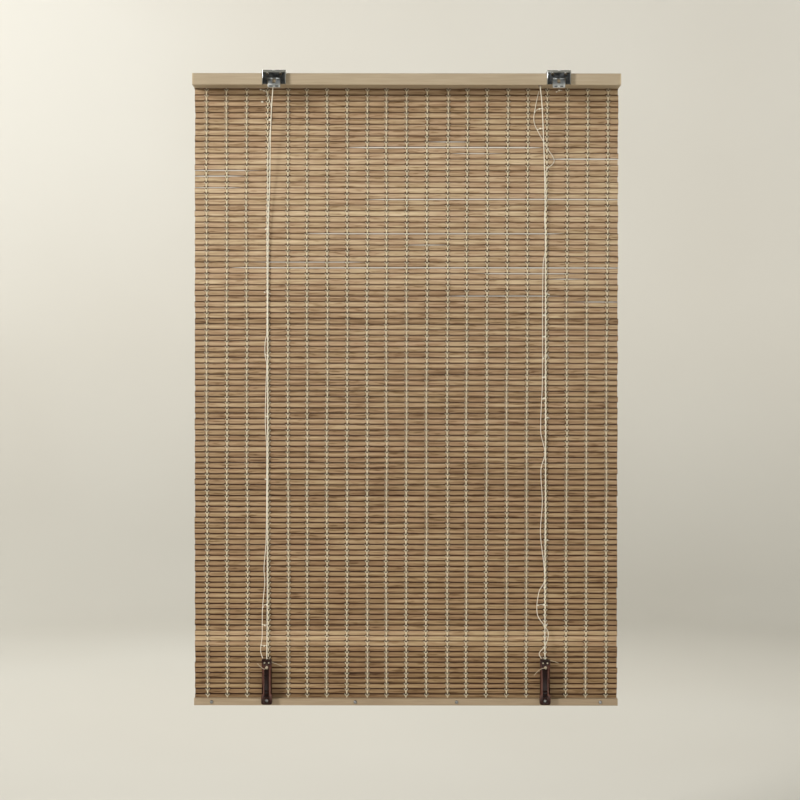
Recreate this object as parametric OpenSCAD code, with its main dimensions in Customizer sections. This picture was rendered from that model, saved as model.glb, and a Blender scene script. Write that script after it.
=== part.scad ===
// Cordless bamboo roman shade with a spring lift in its headrail, in millimetres.
// X runs along the headrail, +Y points into the room, +Z up.
// Y = 0 is the wall plane behind the brackets, Z = 0 the lintel plane on top of them.

/* [Mat] */
// Width of the slat mat and of both rails
shade_w = 610; // [520:5:900]
// Number of slats in the mat
slat_count = 113; // [100:1:120]
// Distance from one slat to the next
slat_pitch = 8; // [7:0.1:9]
// Open line between two slats
slat_gap = 0.8; // [0.5:0.1:1.2]
// How much taller the slats run at the top than in the middle
slat_taper = 0.05; // [0:0.01:0.08]
// Thickness of a slat
slat_t = 2; // [1.6:0.1:3]
// How far the edges of a slat are worn back
slat_edge = 0.45; // [0.2:0.05:0.6]
// Number of warp threads across the mat
warp_count = 21; // [9:2:31]
// Distance from one warp thread to the next
warp_pitch = 28.9; // [15:0.1:29]
// Width of a warp thread
warp_w = 1.5; // [0.8:0.1:2.5]
// How far a warp thread stands proud of the slats
warp_t = 0.5; // [0.3:0.1:0.8]
// Gaps counted from the top that let light through
open_gaps = [12, 14, 21, 27, 33];

/* [Headrail] */
// Height of the headrail
head_h = 16.5; // [16:0.5:24]
// Depth of the headrail
head_d = 32; // [30:0.5:44]
// Wall of the headrail channel
head_wall = 1.4; // [1:0.1:2]
// Reach of the two lips that turn in over the top
lip_reach = 4; // [3:0.5:6]
// Thickness of the lips
lip_t = 1.2; // [0.8:0.1:1.6]
// Outer edge radius of the headrail and of its end caps
head_r = 1; // [0.5:0.1:1.3]
// Thickness of an end cap
cap_t = 1.6; // [1:0.1:3]
// Length of the plug behind an end cap
cap_plug = 6; // [4:0.5:12]
// Thickness of the hook tape that holds the mat
tape_t = 1; // [0.6:0.1:2]
// Distance from the end of the headrail to the end of the tape
tape_end = 10; // [5:1:40]

/* [Brackets] */
// Left bracket from the left end of the headrail
bracket_left_end = 116.6; // [80:0.1:150]
// Right bracket from the right end of the headrail
bracket_right_end = 88.9; // [70:0.1:100]
// Width of a bracket
bracket_w = 34.5; // [30:0.5:44]
// Height of the screw plate
bracket_h = 20; // [18:0.5:24]
// Distance from the wall plane to the headrail
bracket_d = 6; // [5:0.5:12]
// Height of the bracket above the headrail
bracket_rise = 3.5; // [2.5:0.5:6]
// Width of the hook that grips the headrail
hook_w = 12; // [8:0.5:16]
// Sheet steel thickness of a bracket
sheet_t = 1.2; // [0.8:0.1:1.6]
// Outer bend radius along the sides of a bracket
bend_r = 2.2; // [1.8:0.1:3]
// Distance between the two screw holes
hole_pitch = 18.7; // [16:0.1:22]
// Radius of a screw hole
hole_r = 2.2; // [1.6:0.1:2.6]
// Wall screw holes below the top of the bracket
hole_drop = 5.4; // [5:0.1:6.5]
// Width of the spring clip
clip_w = 17.6; // [14:0.2:18]
// Spring steel thickness of the clip
clip_t = 0.8; // [0.5:0.1:1]
// Length of the finger lip below the headrail
clip_lip = 4.4; // [3:0.1:7]

/* [Lift] */
// Eyelets from the middle of the shade
eyelet_x = 190.5; // [150:0.5:192]
// Thickness of the lift cord
cord_dia = 1.3; // [1:0.1:1.5]
// Thickness of the ladder cord
ladder_dia = 0.9; // [0.7:0.1:1.1]
// Teeth on each gear of the lift
gear_teeth = 24; // [20:2:30]
// Thickness of a gear
gear_t = 3.2; // [2.5:0.1:4]
// Radius of the core that the cord winds on
spool_core_r = 8.1; // [7:0.1:8.4]
// Radius of the two drums that carry the spring
drum_r = 5; // [4:0.1:6]
// Radius of the spring wound on the output drum
coil_out_r = 10.5; // [8:0.1:10.8]
// Radius of the spring left on the storage drum
coil_store_r = 7.6; // [6.5:0.1:8.5]
// Radius of the arbors
arbor_r = 2; // [1.5:0.1:2.5]
// Running clearance around an arbor or a pin
run_gap = 0.05; // [0.03:0.01:0.1]
// Play between the teeth of two gears
backlash = 0.2; // [0.15:0.01:0.3]
// Radius at which the cord runs over a guide pulley
pulley_r = 3.2; // [2.9:0.1:3.4]
// Radius of the pin in a guide pulley
pin_r = 1.25; // [0.9:0.05:1.3]
// Length of the foot of a pulley cradle
cradle_len = 13; // [12:0.5:20]

/* [Bottom rail] */
// Height of the bottom rail
rail_h = 10; // [9:0.5:16]
// Depth of the back batten
rail_d = 9; // [7:0.5:14]
// Depth of the front batten
batten_d = 4; // [3:0.5:8]
// Edge radius of both battens
rail_r = 0.8; // [0.4:0.1:1.2]
// Inner pair of rail screws from the middle
screw_inner_x = 73; // [40:1:120]
// Outer pair of rail screws from the ends of the rail
screw_end = 25; // [12:1:60]
// Radius of a screw shank
shank_r = 1.4; // [1:0.1:1.6]
// Radius of a screw head
screw_head_r = 2.5; // [2.1:0.1:3]

/* [Cord locks] */
// Cord locks from the middle of the shade
lock_x = 200; // [170:0.5:220]
// Width of a lock
lock_w = 15.4; // [14:0.1:20]
// Depth of a lock
lock_d = 9; // [8:0.1:12]
// Length of a lock
lock_len = 65; // [60:0.5:80]
// Length of the screwed foot
foot_len = 11; // [10:0.5:14]
// Length of the head that holds the cord ends
lock_head = 13; // [11:0.5:18]
// Width of the groove for spare cord
groove_w = 6.6; // [5:0.1:7.4]
// Depth of the groove
groove_d = 5.6; // [4:0.1:6]
// Width of the ridge on each side of the groove
ridge_w = 2.2; // [1.6:0.1:3]
// Fall of the sloped flank outside each ridge
ridge_fall = 2.8; // [1:0.1:4]

/* [Hidden] */
$fn = 40;
eps = 0.01;
fit_gap = 0.2;
head_y0 = bracket_d;
head_y1 = head_y0 + head_d;
head_top = -bracket_rise;
head_bot = head_top - head_h;
floor_z = head_bot + head_wall;
lip_z = head_top - lip_t;
channel_len = shade_w - 2 * cap_t;
inner_d = head_d - 2 * head_wall;
mat_y0 = head_y1 + tape_t;
mat_y1 = mat_y0 + slat_t;
mat_top = head_top - 1;
mat_len = slat_count * slat_pitch;
mat_bot = mat_top - mat_len;
web_t = 0.6;
bracket_left_x = bracket_left_end - shade_w / 2;
bracket_right_x = shade_w / 2 - bracket_right_end;
screw_outer_x = shade_w / 2 - screw_end;
rail_z0 = mat_bot;
rail_z1 = mat_bot + rail_h;
rail_y0 = mat_y0 - rail_d;
batten_y0 = mat_y1 + warp_t;
motor_y = head_y0 + head_d / 2;
gear_side_gap = 1;
gear_m = (inner_d - 2 * gear_side_gap) / (gear_teeth + 2);
gear_gap = gear_m * gear_teeth;
drum_x = [-1.5 * gear_gap, -0.5 * gear_gap, 0.5 * gear_gap, 1.5 * gear_gap];
tooth_step = 360 / gear_teeth;
plate_t = 1;
plate_len = 4 * gear_gap + 6;
plate_d = inner_d - 2 * fit_gap;
base_z = floor_z + plate_t;
gear_z0 = base_z + fit_gap;
gear_z1 = gear_z0 + gear_t;
top_z1 = lip_z - 0.3;
top_z0 = top_z1 - plate_t;
drum_z1 = top_z0 - 0.3;
flange_t = 0.8;
spool_flange_r = gear_gap / 2 - 1.6;
wrap_r = spool_core_r + fit_gap + cord_dia / 2;
cord_y = motor_y - wrap_r;
cord_z = (gear_z1 + drum_z1) / 2;
pulley_z = cord_z - pulley_r;
pulley_x = eyelet_x - pulley_r;
pulley_w = 4;
pulley_rim = pulley_r + 0.8;
pulley_core = pulley_r - cord_dia / 2 - fit_gap;
cheek_t = 1.4;
cheek_r = 4;
cheek_gap = pulley_w / 2 + 0.3;
eyelet_r = 3.2;
eyelet_bore = cord_dia / 2 + 0.5;
eyelet_neck = eyelet_bore + 0.9;
hook_y = head_y0 + head_wall + lip_reach + 0.3;
flange_y = hook_y + sheet_t + 9;
top_hole_y = hook_y + sheet_t + 4;
window_z = -0.56 * bracket_h;
lock_y0 = rail_y0 - lock_d;
lock_z0 = rail_z0 + 2.5;
lock_z1 = lock_z0 + lock_len;
lock_screw_z = lock_z0 + foot_len / 2;
screw_z = (rail_z0 + rail_z1) / 2;

// Lift cords below their eyelets
lift_left_run = [
    [-192.2, 18, -40], [-193.9, 23, -63], [-195.4, 28, -101], [-196.4, 32, -153],
    [-198.6, 35, -210], [-199.3, 36.4, -297], [-199.9, 36.4, -441], [-199.5, 36.4, -533],
    [-200.1, 36.4, -620], [-200, 36.4, -700], [-200, 35, -764], [-200, 28, -825]];
lift_right_run = [
    [193, 18, -40], [195.3, 23, -73], [197.2, 28, -110], [198.8, 32, -153],
    [200, 35, -225], [200.4, 36.4, -297], [200.8, 36.4, -441], [201, 36.4, -585],
    [200.5, 36.4, -700], [200.3, 35, -764], [200, 28, -825]];
// Ladder cords from their top knots
ladder_left_run = [
    [-201.8, 38, -24], [-194.6, 38, -50], [-197, 38, -88], [-200.2, 38, -124], [-200.2, 38, -160],
    [-201, 38, -222], [-201, 38, -372], [-203.4, 38, -385], [-203.4, 38, -405], [-201.2, 38, -416],
    [-202, 38, -441], [-203.2, 38, -498], [-201.4, 38, -535], [-202, 38, -671], [-205, 38, -712],
    [-203.8, 37.6, -731], [-207, 35.5, -770], [-207.2, 32, -810], [-209, 28, -829], [-206, 26, -840]];
ladder_right_run = [
    [190.4, 38, -24], [185.8, 38, -45], [183.2, 38, -64], [186, 38, -75], [203.6, 38, -107],
    [212.6, 38, -122], [211, 38, -128], [201.8, 38, -137], [201.2, 38, -178], [198.8, 38, -205],
    [201.2, 38, -245], [197, 38, -275], [196.4, 38, -441], [194.2, 38, -514], [200.2, 38, -545],
    [194.6, 38, -568], [196.6, 38, -616], [194, 38, -660], [199.6, 38, -712], [199.5, 38, -731],
    [192, 37, -745], [189.5, 36, -777], [200.5, 34, -795], [205.2, 33, -804], [201.3, 31, -821],
    [191.6, 28, -833], [195, 27, -840]];

function unit(v) = v / norm(v);
function tangent(p, i) = unit(p[min(i + 1, len(p) - 1)] - p[max(i - 1, 0)]);
function flat_normal(p, i) = let (d = unit(p[i + 1] - p[i])) [-d.y, d.x];
function polar(r, a) = [r * cos(a), r * sin(a)];
function slat_line(i) = let (u = i / slat_count) mat_top - mat_len * (u + slat_taper * u * (1 - u));
function involute(r, rb) = tan(acos(rb / r)) * 180 / PI - acos(rb / r);

// Extrudes a shape drawn in Y and Z along X, about x = 0
module along_x(length) {
    rotate([90, 0, 90]) linear_extrude(length, center = true) children();
}

// Turns a shape of revolution drawn upwards so that it points into the room
module into_room(at) {
    translate(at) rotate([-90, 0, 0]) children();
}

// Rectangle with round corners
module round_rect(size, r) {
    translate([r, 0]) square([size.x - 2 * r, size.y]);
    translate([0, r]) square([size.x, size.y - 2 * r]);
    for (x = [r, size.x - r], y = [r, size.y - r]) translate([x, y]) circle(r);
}

// Strip of sheet metal that follows a bent line, with mitred bends
module strip(path, t) {
    last = len(path) - 1;
    side = [for (i = [0 : last])
        let (a = flat_normal(path, max(i - 1, 0)), b = flat_normal(path, min(i, last - 1)))
        (a + b) / (1 + a * b) * t / 2];
    polygon(concat([for (i = [0 : last]) path[i] + side[i]], [for (i = [last : -1 : 0]) path[i] - side[i]]));
}

// Round cord through a list of points
module cord(points, dia) {
    sides = 8;
    rings = len(points);
    corners = [for (i = [0 : rings - 1])
        let (t = tangent(points, i), u = unit(cross(t, [0, 1, 0])), v = cross(u, t))
        for (j = [0 : sides - 1]) points[i] + dia / 2 * (u * cos(j * 360 / sides) + v * sin(j * 360 / sides))];
    skin = [for (i = [0 : rings - 2]) for (j = [0 : sides - 1])
        [i * sides + j, i * sides + (j + 1) % sides,
         (i + 1) * sides + (j + 1) % sides, (i + 1) * sides + j]];
    first = [for (j = [sides - 1 : -1 : 0]) j];
    last = [for (j = [0 : sides - 1]) (rings - 1) * sides + j];
    polyhedron(corners, concat([first], skin, [last]));
}

// Outline of an involute gear
module gear_outline(phase) {
    rp = gear_m * gear_teeth / 2;
    rb = rp * cos(20);
    ro = rp + gear_m;
    rr = rp - 1.25 * gear_m;
    half = 90 / gear_teeth - backlash / rp * 45 / PI;
    lean = involute(rp, rb);
    flank = [for (k = [0 : 4]) rb + (ro - rb) * k / 4];
    polygon([for (i = [0 : gear_teeth - 1]) let (a = i * tooth_step + phase) each concat(
        [polar(rr, a - half - lean)],
        [for (r = flank) polar(r, a - half - lean + involute(r, rb))],
        [for (k = [4 : -1 : 0]) polar(flank[k], a + half + lean - involute(flank[k], rb))],
        [polar(rr, a + half + lean)])]);
}

// Pan head screw that points into the room, with its head at the given place
module screw(at, shank_len) {
    into_room(at) {
        cylinder(h = shank_len, r = shank_r);
        translate([0, 0, -1.5]) cylinder(h = 1.5, r1 = screw_head_r * 0.75, r2 = screw_head_r);
    }
}

module headrail() color([0.74, 0.67, 0.55]) difference() {
    along_x(channel_len) difference() {
        translate([head_y0, head_bot]) round_rect([head_d, head_h], head_r);
        translate([head_y0 + head_wall, floor_z]) square([inner_d, lip_z - floor_z]);
        translate([head_y0 + head_wall + lip_reach, lip_z - eps])
            square([inner_d - 2 * lip_reach, lip_t + 1]);
    }
    for (side = [-1, 1]) translate([side * eyelet_x, cord_y, head_bot - 1])
        cylinder(h = head_wall + 2, r = eyelet_neck + 0.05);
}

module end_cap(side) color([0.72, 0.65, 0.54]) {
    translate([side * (shade_w - cap_t) / 2, 0, 0]) along_x(cap_t)
        translate([head_y0, head_bot]) round_rect([head_d, head_h], head_r);
    translate([side * (channel_len - cap_plug) / 2, 0, 0]) along_x(cap_plug) difference() {
        translate([head_y0 + head_wall + fit_gap, floor_z + fit_gap])
            square([plate_d, lip_z - floor_z - 2 * fit_gap]);
        translate([head_y0 + head_wall + 2, floor_z + 2])
            square([inner_d - 4, lip_z - floor_z - 4]);
    }
}

module bracket(x) color([0.62, 0.63, 0.64]) translate([x, 0, 0]) difference() {
    union() {
        translate([0, 0, -bracket_h]) linear_extrude(bracket_h) difference() {
            translate([-bracket_w / 2, 0]) round_rect([bracket_w, 2 * bracket_d], bend_r);
            translate([-bracket_w / 2 + sheet_t, sheet_t])
                round_rect([bracket_w - 2 * sheet_t, 2 * bracket_d], bend_r - sheet_t);
            translate([-bracket_w, bracket_d]) square([2 * bracket_w, 2 * bracket_d]);
        }
        translate([0, 0, -sheet_t]) linear_extrude(sheet_t)
            translate([-bracket_w / 2, 0]) round_rect([bracket_w, flange_y], bend_r);
        translate([-hook_w / 2, hook_y, head_top - lip_t - 1.6]) cube([hook_w, sheet_t, lip_t + 1.6 - head_top]);
    }
    for (side = [-1, 1]) {
        into_room([side * hole_pitch / 2, -1, -hole_drop]) cylinder(h = sheet_t + 2, r = hole_r);
        translate([side * hole_pitch / 2, top_hole_y, -sheet_t - 1]) cylinder(h = sheet_t + 2, r = hole_r);
    }
    translate([-clip_w / 2 - 0.6, -1, -bracket_h - 1])
        cube([clip_w + 1.2, sheet_t + 1.4, bracket_h + 1 + window_z]);
    translate([0, 0, 1]) rotate([90, 0, 0]) linear_extrude(2 * sheet_t + 4, center = true)
        polygon([[-3.2, 0], [3.2, 0], [0, -3.4]]);
}

module bracket_clip(x) color([0.75, 0.76, 0.77]) translate([x, 0, 0]) difference() {
    nose = sheet_t + 0.2;
    shelf_z = head_bot - clip_t / 2;
    along_x(clip_w) {
        strip([[sheet_t + clip_t / 2, window_z + 3.2], [sheet_t + clip_t / 2, window_z + 1],
               [bracket_d - 1, window_z - 0.6], [nose, head_bot + 0.6], [nose, head_bot - clip_lip]], clip_t);
        strip([[nose, shelf_z], [head_y0 + 2.2, shelf_z]], clip_t);
    }
    translate([-2.3, -1, head_bot + 1.6]) cube([4.6, bracket_d + 2, window_z - head_bot - 2.6]);
    for (side = [-1, 1]) translate([side * 4.2 - 2.4, -1, head_bot - clip_lip + 0.9])
        cube([4.8, nose + 2, 1.5]);
}

module eyelet(side) color([0.55, 0.5, 0.46]) translate([side * eyelet_x, cord_y, 0]) difference() {
    union() {
        translate([0, 0, head_bot - 1]) cylinder(h = 1, r1 = eyelet_r - 0.5, r2 = eyelet_r);
        translate([0, 0, head_bot - eps]) cylinder(h = head_wall + eps, r = eyelet_neck);
    }
    translate([0, 0, head_bot - 2]) cylinder(h = head_wall + 3, r = eyelet_bore);
}

module cradle(side) color([0.86, 0.85, 0.82]) difference() {
    translate([side * pulley_x, cord_y, 0]) union() {
        translate([-cradle_len / 2, -cheek_gap - cheek_t, floor_z])
            cube([cradle_len, 2 * (cheek_gap + cheek_t), 0.8]);
        for (s = [-1, 1]) translate([0, s * (cheek_gap + cheek_t / 2), 0]) rotate([90, 0, 0])
            linear_extrude(cheek_t, center = true) {
                translate([-cheek_r, floor_z]) square([2 * cheek_r, pulley_z - floor_z]);
                translate([0, pulley_z]) circle(cheek_r);
            }
    }
    translate([side * eyelet_x, cord_y, floor_z - 1]) cylinder(h = 3, r = eyelet_bore);
    into_room([side * pulley_x, 0, pulley_z]) cylinder(h = head_y1, r = pin_r);
}

module pulley_pin(side) color([0.7, 0.71, 0.72])
    into_room([side * pulley_x, cord_y - cheek_gap - cheek_t, pulley_z])
        cylinder(h = 2 * (cheek_gap + cheek_t), r = pin_r);

module pulley(side) color([0.9, 0.89, 0.86]) into_room([side * pulley_x, cord_y, pulley_z])
    rotate_extrude() difference() {
        translate([pin_r + run_gap, -pulley_w / 2]) square([pulley_rim - pin_r - run_gap, pulley_w]);
        polygon([[pulley_core, 0.9], [pulley_core, -0.9], [pulley_rim + 1, -1.7], [pulley_rim + 1, 1.7]]);
    }

module motor_base() color([0.3, 0.3, 0.31]) {
    translate([-plate_len / 2, head_y0 + head_wall + fit_gap, floor_z]) cube([plate_len, plate_d, plate_t]);
    for (x = drum_x) translate([x, motor_y, base_z - eps]) cylinder(h = top_z1 - base_z + eps, r = arbor_r);
    for (x = [-gear_gap, 0, gear_gap], s = [-1, 1])
        translate([x, motor_y + s * (plate_d / 2 - 2), base_z - eps]) cylinder(h = top_z0 - base_z + eps, r = 1.6);
}

module motor_top() color([0.34, 0.34, 0.35]) difference() {
    translate([-plate_len / 2, head_y0 + head_wall + fit_gap, top_z0]) cube([plate_len, plate_d, plate_t]);
    for (x = drum_x) translate([x, motor_y, top_z0 - 1]) cylinder(h = plate_t + 2, r = arbor_r);
}

module spool(i) color([0.88, 0.87, 0.84]) translate([drum_x[i], motor_y, 0]) difference() {
    union() {
        translate([0, 0, gear_z0]) linear_extrude(gear_t) gear_outline(i * tooth_step / 2);
        translate([0, 0, gear_z1 - eps]) cylinder(h = drum_z1 - gear_z1 + eps, r = spool_core_r);
        for (z = [gear_z1 - eps, drum_z1 - flange_t]) translate([0, 0, z])
            cylinder(h = flange_t, r = spool_flange_r);
    }
    translate([0, 0, gear_z0 - 1]) cylinder(h = drum_z1 - gear_z0 + 2, r = arbor_r + run_gap);
}

module output_drum() color([0.85, 0.84, 0.8]) translate([drum_x[1], motor_y, 0]) difference() {
    union() {
        translate([0, 0, gear_z0]) linear_extrude(gear_t) gear_outline(tooth_step / 2);
        translate([0, 0, gear_z1 - eps]) cylinder(h = drum_z1 - gear_z1 + eps, r = drum_r);
    }
    translate([0, 0, gear_z0 - 1]) cylinder(h = drum_z1 - gear_z0 + 2, r = arbor_r + run_gap);
}

module storage_drum() color([0.85, 0.84, 0.8]) translate([drum_x[2], motor_y, gear_z1 + fit_gap]) difference() {
    cylinder(h = drum_z1 - gear_z1 - fit_gap, r = drum_r);
    translate([0, 0, -1]) cylinder(h = drum_z1 - gear_z1 + 2, r = arbor_r + run_gap);
}

module idler_gear() color([0.88, 0.87, 0.84]) translate([drum_x[2], motor_y, gear_z0]) difference() {
    linear_extrude(gear_t) gear_outline(0);
    translate([0, 0, -1]) cylinder(h = gear_t + 2, r = arbor_r + run_gap);
}

module spring_band() color([0.5, 0.53, 0.58]) {
    band_t = 0.4;
    out_r = coil_out_r - band_t / 2;
    store_r = coil_store_r - band_t / 2;
    lean = acos((out_r + store_r) / gear_gap);
    from = [drum_x[1], motor_y] + out_r * [cos(lean), -sin(lean)];
    to = [drum_x[2], motor_y] - store_r * [cos(lean), -sin(lean)];
    translate([0, 0, gear_z1 + 0.4]) linear_extrude(drum_z1 - gear_z1 - 0.8) {
        translate([drum_x[1], motor_y]) difference() {
            circle(coil_out_r);
            circle(drum_r + fit_gap);
        }
        translate([drum_x[2], motor_y]) difference() {
            circle(coil_store_r);
            circle(drum_r + fit_gap);
        }
        strip([from, to], band_t);
    }
}

module hook_tape() color([0.2, 0.2, 0.2])
    translate([tape_end - shade_w / 2, head_y1, head_bot + 1.5])
        cube([shade_w - 2 * tape_end, tape_t, head_h - 3]);

module slat_mat() color([0.6, 0.49, 0.37]) difference() {
    mid = (mat_y0 + mat_y1) / 2;
    tops = [for (i = [0 : slat_count - 1]) slat_line(i) - slat_gap / 2];
    feet = [for (i = [1 : slat_count]) slat_line(i) + slat_gap / 2];
    along_x(shade_w) polygon(concat(
        [for (i = [0 : slat_count - 1]) each [
            [mid - web_t / 2, tops[i]], [mat_y0 + slat_edge, tops[i]], [mat_y0, tops[i] - 2 * slat_edge],
            [mat_y0, feet[i] + 2 * slat_edge], [mat_y0 + slat_edge, feet[i]], [mid - web_t / 2, feet[i]]]],
        [for (i = [slat_count - 1 : -1 : 0]) each [
            [mid + web_t / 2, feet[i]], [mat_y1 - slat_edge, feet[i]], [mat_y1, feet[i] + 2 * slat_edge],
            [mat_y1, tops[i] - 2 * slat_edge], [mat_y1 - slat_edge, tops[i]], [mid + web_t / 2, tops[i]]]]));
    for (i = open_gaps, k = [0 : warp_count - 2])
        translate([(k - (warp_count - 1) / 2) * warp_pitch + 2, mid - web_t, slat_line(i) - slat_gap / 2])
            cube([warp_pitch - 4, 2 * web_t, slat_gap]);
    for (x = [-screw_outer_x, -screw_inner_x, screw_inner_x, screw_outer_x])
        into_room([x, mat_y0 - 1, screw_z]) cylinder(h = slat_t + 2, r = shank_r + fit_gap);
}

module warps(y, z0, z1) color([0.87, 0.82, 0.7])
    for (k = [0 : warp_count - 1])
        translate([(k - (warp_count - 1) / 2) * warp_pitch - warp_w / 2, y, z0]) cube([warp_w, warp_t, z1 - z0]);

module lift_cord(side, run) color([0.93, 0.91, 0.85]) {
    turn = [for (a = [0, 30, 60, 90]) [side * (pulley_x + pulley_r * sin(a)), cord_y, pulley_z + pulley_r * cos(a)]];
    cord(concat([[side * drum_x[3], cord_y, cord_z], [side * eyelet_x * 0.6, cord_y, cord_z]], turn,
                [[side * eyelet_x, cord_y, head_bot - 2]], run,
                [[side * lock_x, lock_y0 + lock_d / 2, lock_z1 + 1],
                 [side * lock_x, lock_y0 + lock_d / 2, lock_z1 - 3]]), cord_dia);
}

module ladder_cord(run) color([0.9, 0.87, 0.78]) cord(run, ladder_dia);

module bottom_rail() color([0.64, 0.56, 0.45]) difference() {
    along_x(shade_w) translate([rail_y0, rail_z0]) round_rect([rail_d, rail_h], rail_r);
    for (x = [-screw_outer_x, -screw_inner_x, screw_inner_x, screw_outer_x])
        into_room([x, rail_y0 - 1, screw_z]) cylinder(h = rail_d + 2, r = shank_r + 0.05);
    for (side = [-1, 1]) into_room([side * lock_x, rail_y0 - 1, lock_screw_z])
        cylinder(h = 7, r = shank_r + 0.05);
}

module front_batten() color([0.64, 0.56, 0.45]) difference() {
    along_x(shade_w) translate([batten_y0, rail_z0]) round_rect([batten_d, rail_h], rail_r);
    for (x = [-screw_outer_x, -screw_inner_x, screw_inner_x, screw_outer_x])
        into_room([x, batten_y0 - 1, screw_z]) cylinder(h = 3, r = shank_r + 0.05);
}

module rail_screws() color([0.78, 0.79, 0.8])
    for (x = [-screw_outer_x, -screw_inner_x, screw_inner_x, screw_outer_x])
        screw([x, rail_y0, screw_z], batten_y0 + 1.8 - rail_y0);

module cord_lock(side) color([0.2, 0.11, 0.08]) translate([side * lock_x, 0, 0]) difference() {
    union() {
        translate([0, rail_y0, 0]) rotate([90, 0, 0]) linear_extrude(lock_d)
            translate([-lock_w / 2, lock_z0]) round_rect([lock_w, foot_len + 4], 3);
        translate([0, rail_y0, 0]) rotate([90, 0, 0]) linear_extrude(lock_d - 0.8)
            translate([-lock_w / 2 + 0.6, lock_z0 + 6]) round_rect([lock_w - 1.2, lock_len - 6], 1.6);
    }
    difference() {
        translate([-groove_w / 2, lock_y0 - 1, lock_z0 + foot_len])
            cube([groove_w, groove_d + 1, lock_len - foot_len - lock_head]);
        for (z = [2.5, 7.5]) translate([-groove_w, lock_y0 + groove_d - 1.6, lock_z0 + foot_len + z])
            rotate([0, 90, 0]) cylinder(h = 2 * groove_w, r = 1.1);
    }
    for (s = [-1, 1]) translate([0, lock_y0 + 0.8, lock_z0 + foot_len + 4])
        linear_extrude(lock_len - foot_len - lock_head - 4) polygon([
            [s * (groove_w / 2 + ridge_w), -1], [s * (groove_w / 2 + ridge_w), 0],
            [s * (lock_w / 2 - 0.6), ridge_fall], [s * lock_w, ridge_fall], [s * lock_w, -1]]);
    for (s = [-1, 1]) into_room([s * 3.1, lock_y0 - 1, lock_z1 - 5]) cylinder(h = lock_d + 2, r = 1.3);
    translate([0, lock_y0 + lock_d / 2, lock_z1 - 4]) cylinder(h = 5, r = cord_dia / 2 + 0.3);
    into_room([0, lock_y0 - 1, lock_screw_z]) cylinder(h = lock_d + 2, r = shank_r + 0.1);
    into_room([0, lock_y0 - 1, lock_screw_z]) cylinder(h = 3, r = screw_head_r + 0.3);
}

module lock_screw(side) color([0.78, 0.79, 0.8])
    screw([side * lock_x, lock_y0 + 2, lock_screw_z], lock_d + 3.6);

headrail();
end_cap(-1);  // end_cap_left
end_cap(1);  // end_cap_right
bracket(bracket_left_x);  // bracket_left
bracket(bracket_right_x);  // bracket_right
bracket_clip(bracket_left_x);  // bracket_clip_left
bracket_clip(bracket_right_x);  // bracket_clip_right
eyelet(-1);  // eyelet_left
eyelet(1);  // eyelet_right
cradle(-1);  // cradle_left
cradle(1);  // cradle_right
pulley_pin(-1);  // pulley_pin_left
pulley_pin(1);  // pulley_pin_right
pulley(-1);  // pulley_left
pulley(1);  // pulley_right
motor_base();
motor_top();
spool(0);  // spool_left
spool(3);  // spool_right
output_drum();
storage_drum();
idler_gear();
spring_band();
hook_tape();
slat_mat();
warps(mat_y0 - warp_t, rail_z1 + 0.2, head_bot - 0.2);  // warps_back
warps(mat_y1, mat_bot + slat_gap, mat_top - slat_gap);  // warps_front
lift_cord(-1, lift_left_run);  // lift_cord_left
lift_cord(1, lift_right_run);  // lift_cord_right
ladder_cord(ladder_left_run);  // ladder_cord_left
ladder_cord(ladder_right_run);  // ladder_cord_right
bottom_rail();
front_batten();
rail_screws();
cord_lock(-1);  // cord_lock_left
cord_lock(1);  // cord_lock_right
lock_screw(-1);  // lock_screw_left
lock_screw(1);  // lock_screw_right
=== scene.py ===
# Bamboo roman shade seen from its window side: finishes, mat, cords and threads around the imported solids
import math
import random

import bmesh
import bpy
import numpy as np
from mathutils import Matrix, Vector
from mathutils.geometry import interpolate_bezier


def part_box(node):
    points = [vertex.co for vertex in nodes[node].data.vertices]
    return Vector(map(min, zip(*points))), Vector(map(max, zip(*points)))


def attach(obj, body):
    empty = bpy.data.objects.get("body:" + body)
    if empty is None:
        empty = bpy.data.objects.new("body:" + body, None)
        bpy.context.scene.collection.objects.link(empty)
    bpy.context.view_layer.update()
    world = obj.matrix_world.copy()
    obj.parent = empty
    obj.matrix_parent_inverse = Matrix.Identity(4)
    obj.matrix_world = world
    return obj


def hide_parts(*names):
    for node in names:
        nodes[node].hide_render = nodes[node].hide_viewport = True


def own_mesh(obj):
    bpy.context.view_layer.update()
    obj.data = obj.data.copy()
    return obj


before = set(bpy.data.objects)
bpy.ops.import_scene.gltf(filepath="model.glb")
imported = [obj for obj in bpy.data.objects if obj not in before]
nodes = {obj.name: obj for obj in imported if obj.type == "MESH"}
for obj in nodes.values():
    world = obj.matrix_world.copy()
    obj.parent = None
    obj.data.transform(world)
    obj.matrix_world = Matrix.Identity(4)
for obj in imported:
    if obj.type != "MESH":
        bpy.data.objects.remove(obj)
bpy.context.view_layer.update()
bpy.ops.object.select_all(action="DESELECT")

# Lengths are in millimetres times MM, because the frame is in metres
MM = 0.001
SIDES = {"left": -1, "right": 1}
X_AXIS = Vector((1, 0, 0))
Y_AXIS = Vector((0, 1, 0))
# A hair's breadth, for finding edges by their place
HAIR = 0.01 * MM
# Edges flatter than these angles are shaded smooth, in degrees: threads, slats and floor, hardware
THREAD_ANGLE = 80
ROUND_ANGLE = 60
SHARP_ANGLE = 35

# Boxes of the solids that the new pieces are built on
head_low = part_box("headrail")[0]
mat_low, mat_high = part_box("slat_mat")
rail_low, rail_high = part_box("bottom_rail")
batten_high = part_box("front_batten")[1]


# Small helpers for modelling
def only(obj):
    """Selects one object alone and makes it the active one."""
    bpy.ops.object.select_all(action="DESELECT")
    obj.select_set(True)
    bpy.context.view_layer.objects.active = obj


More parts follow.
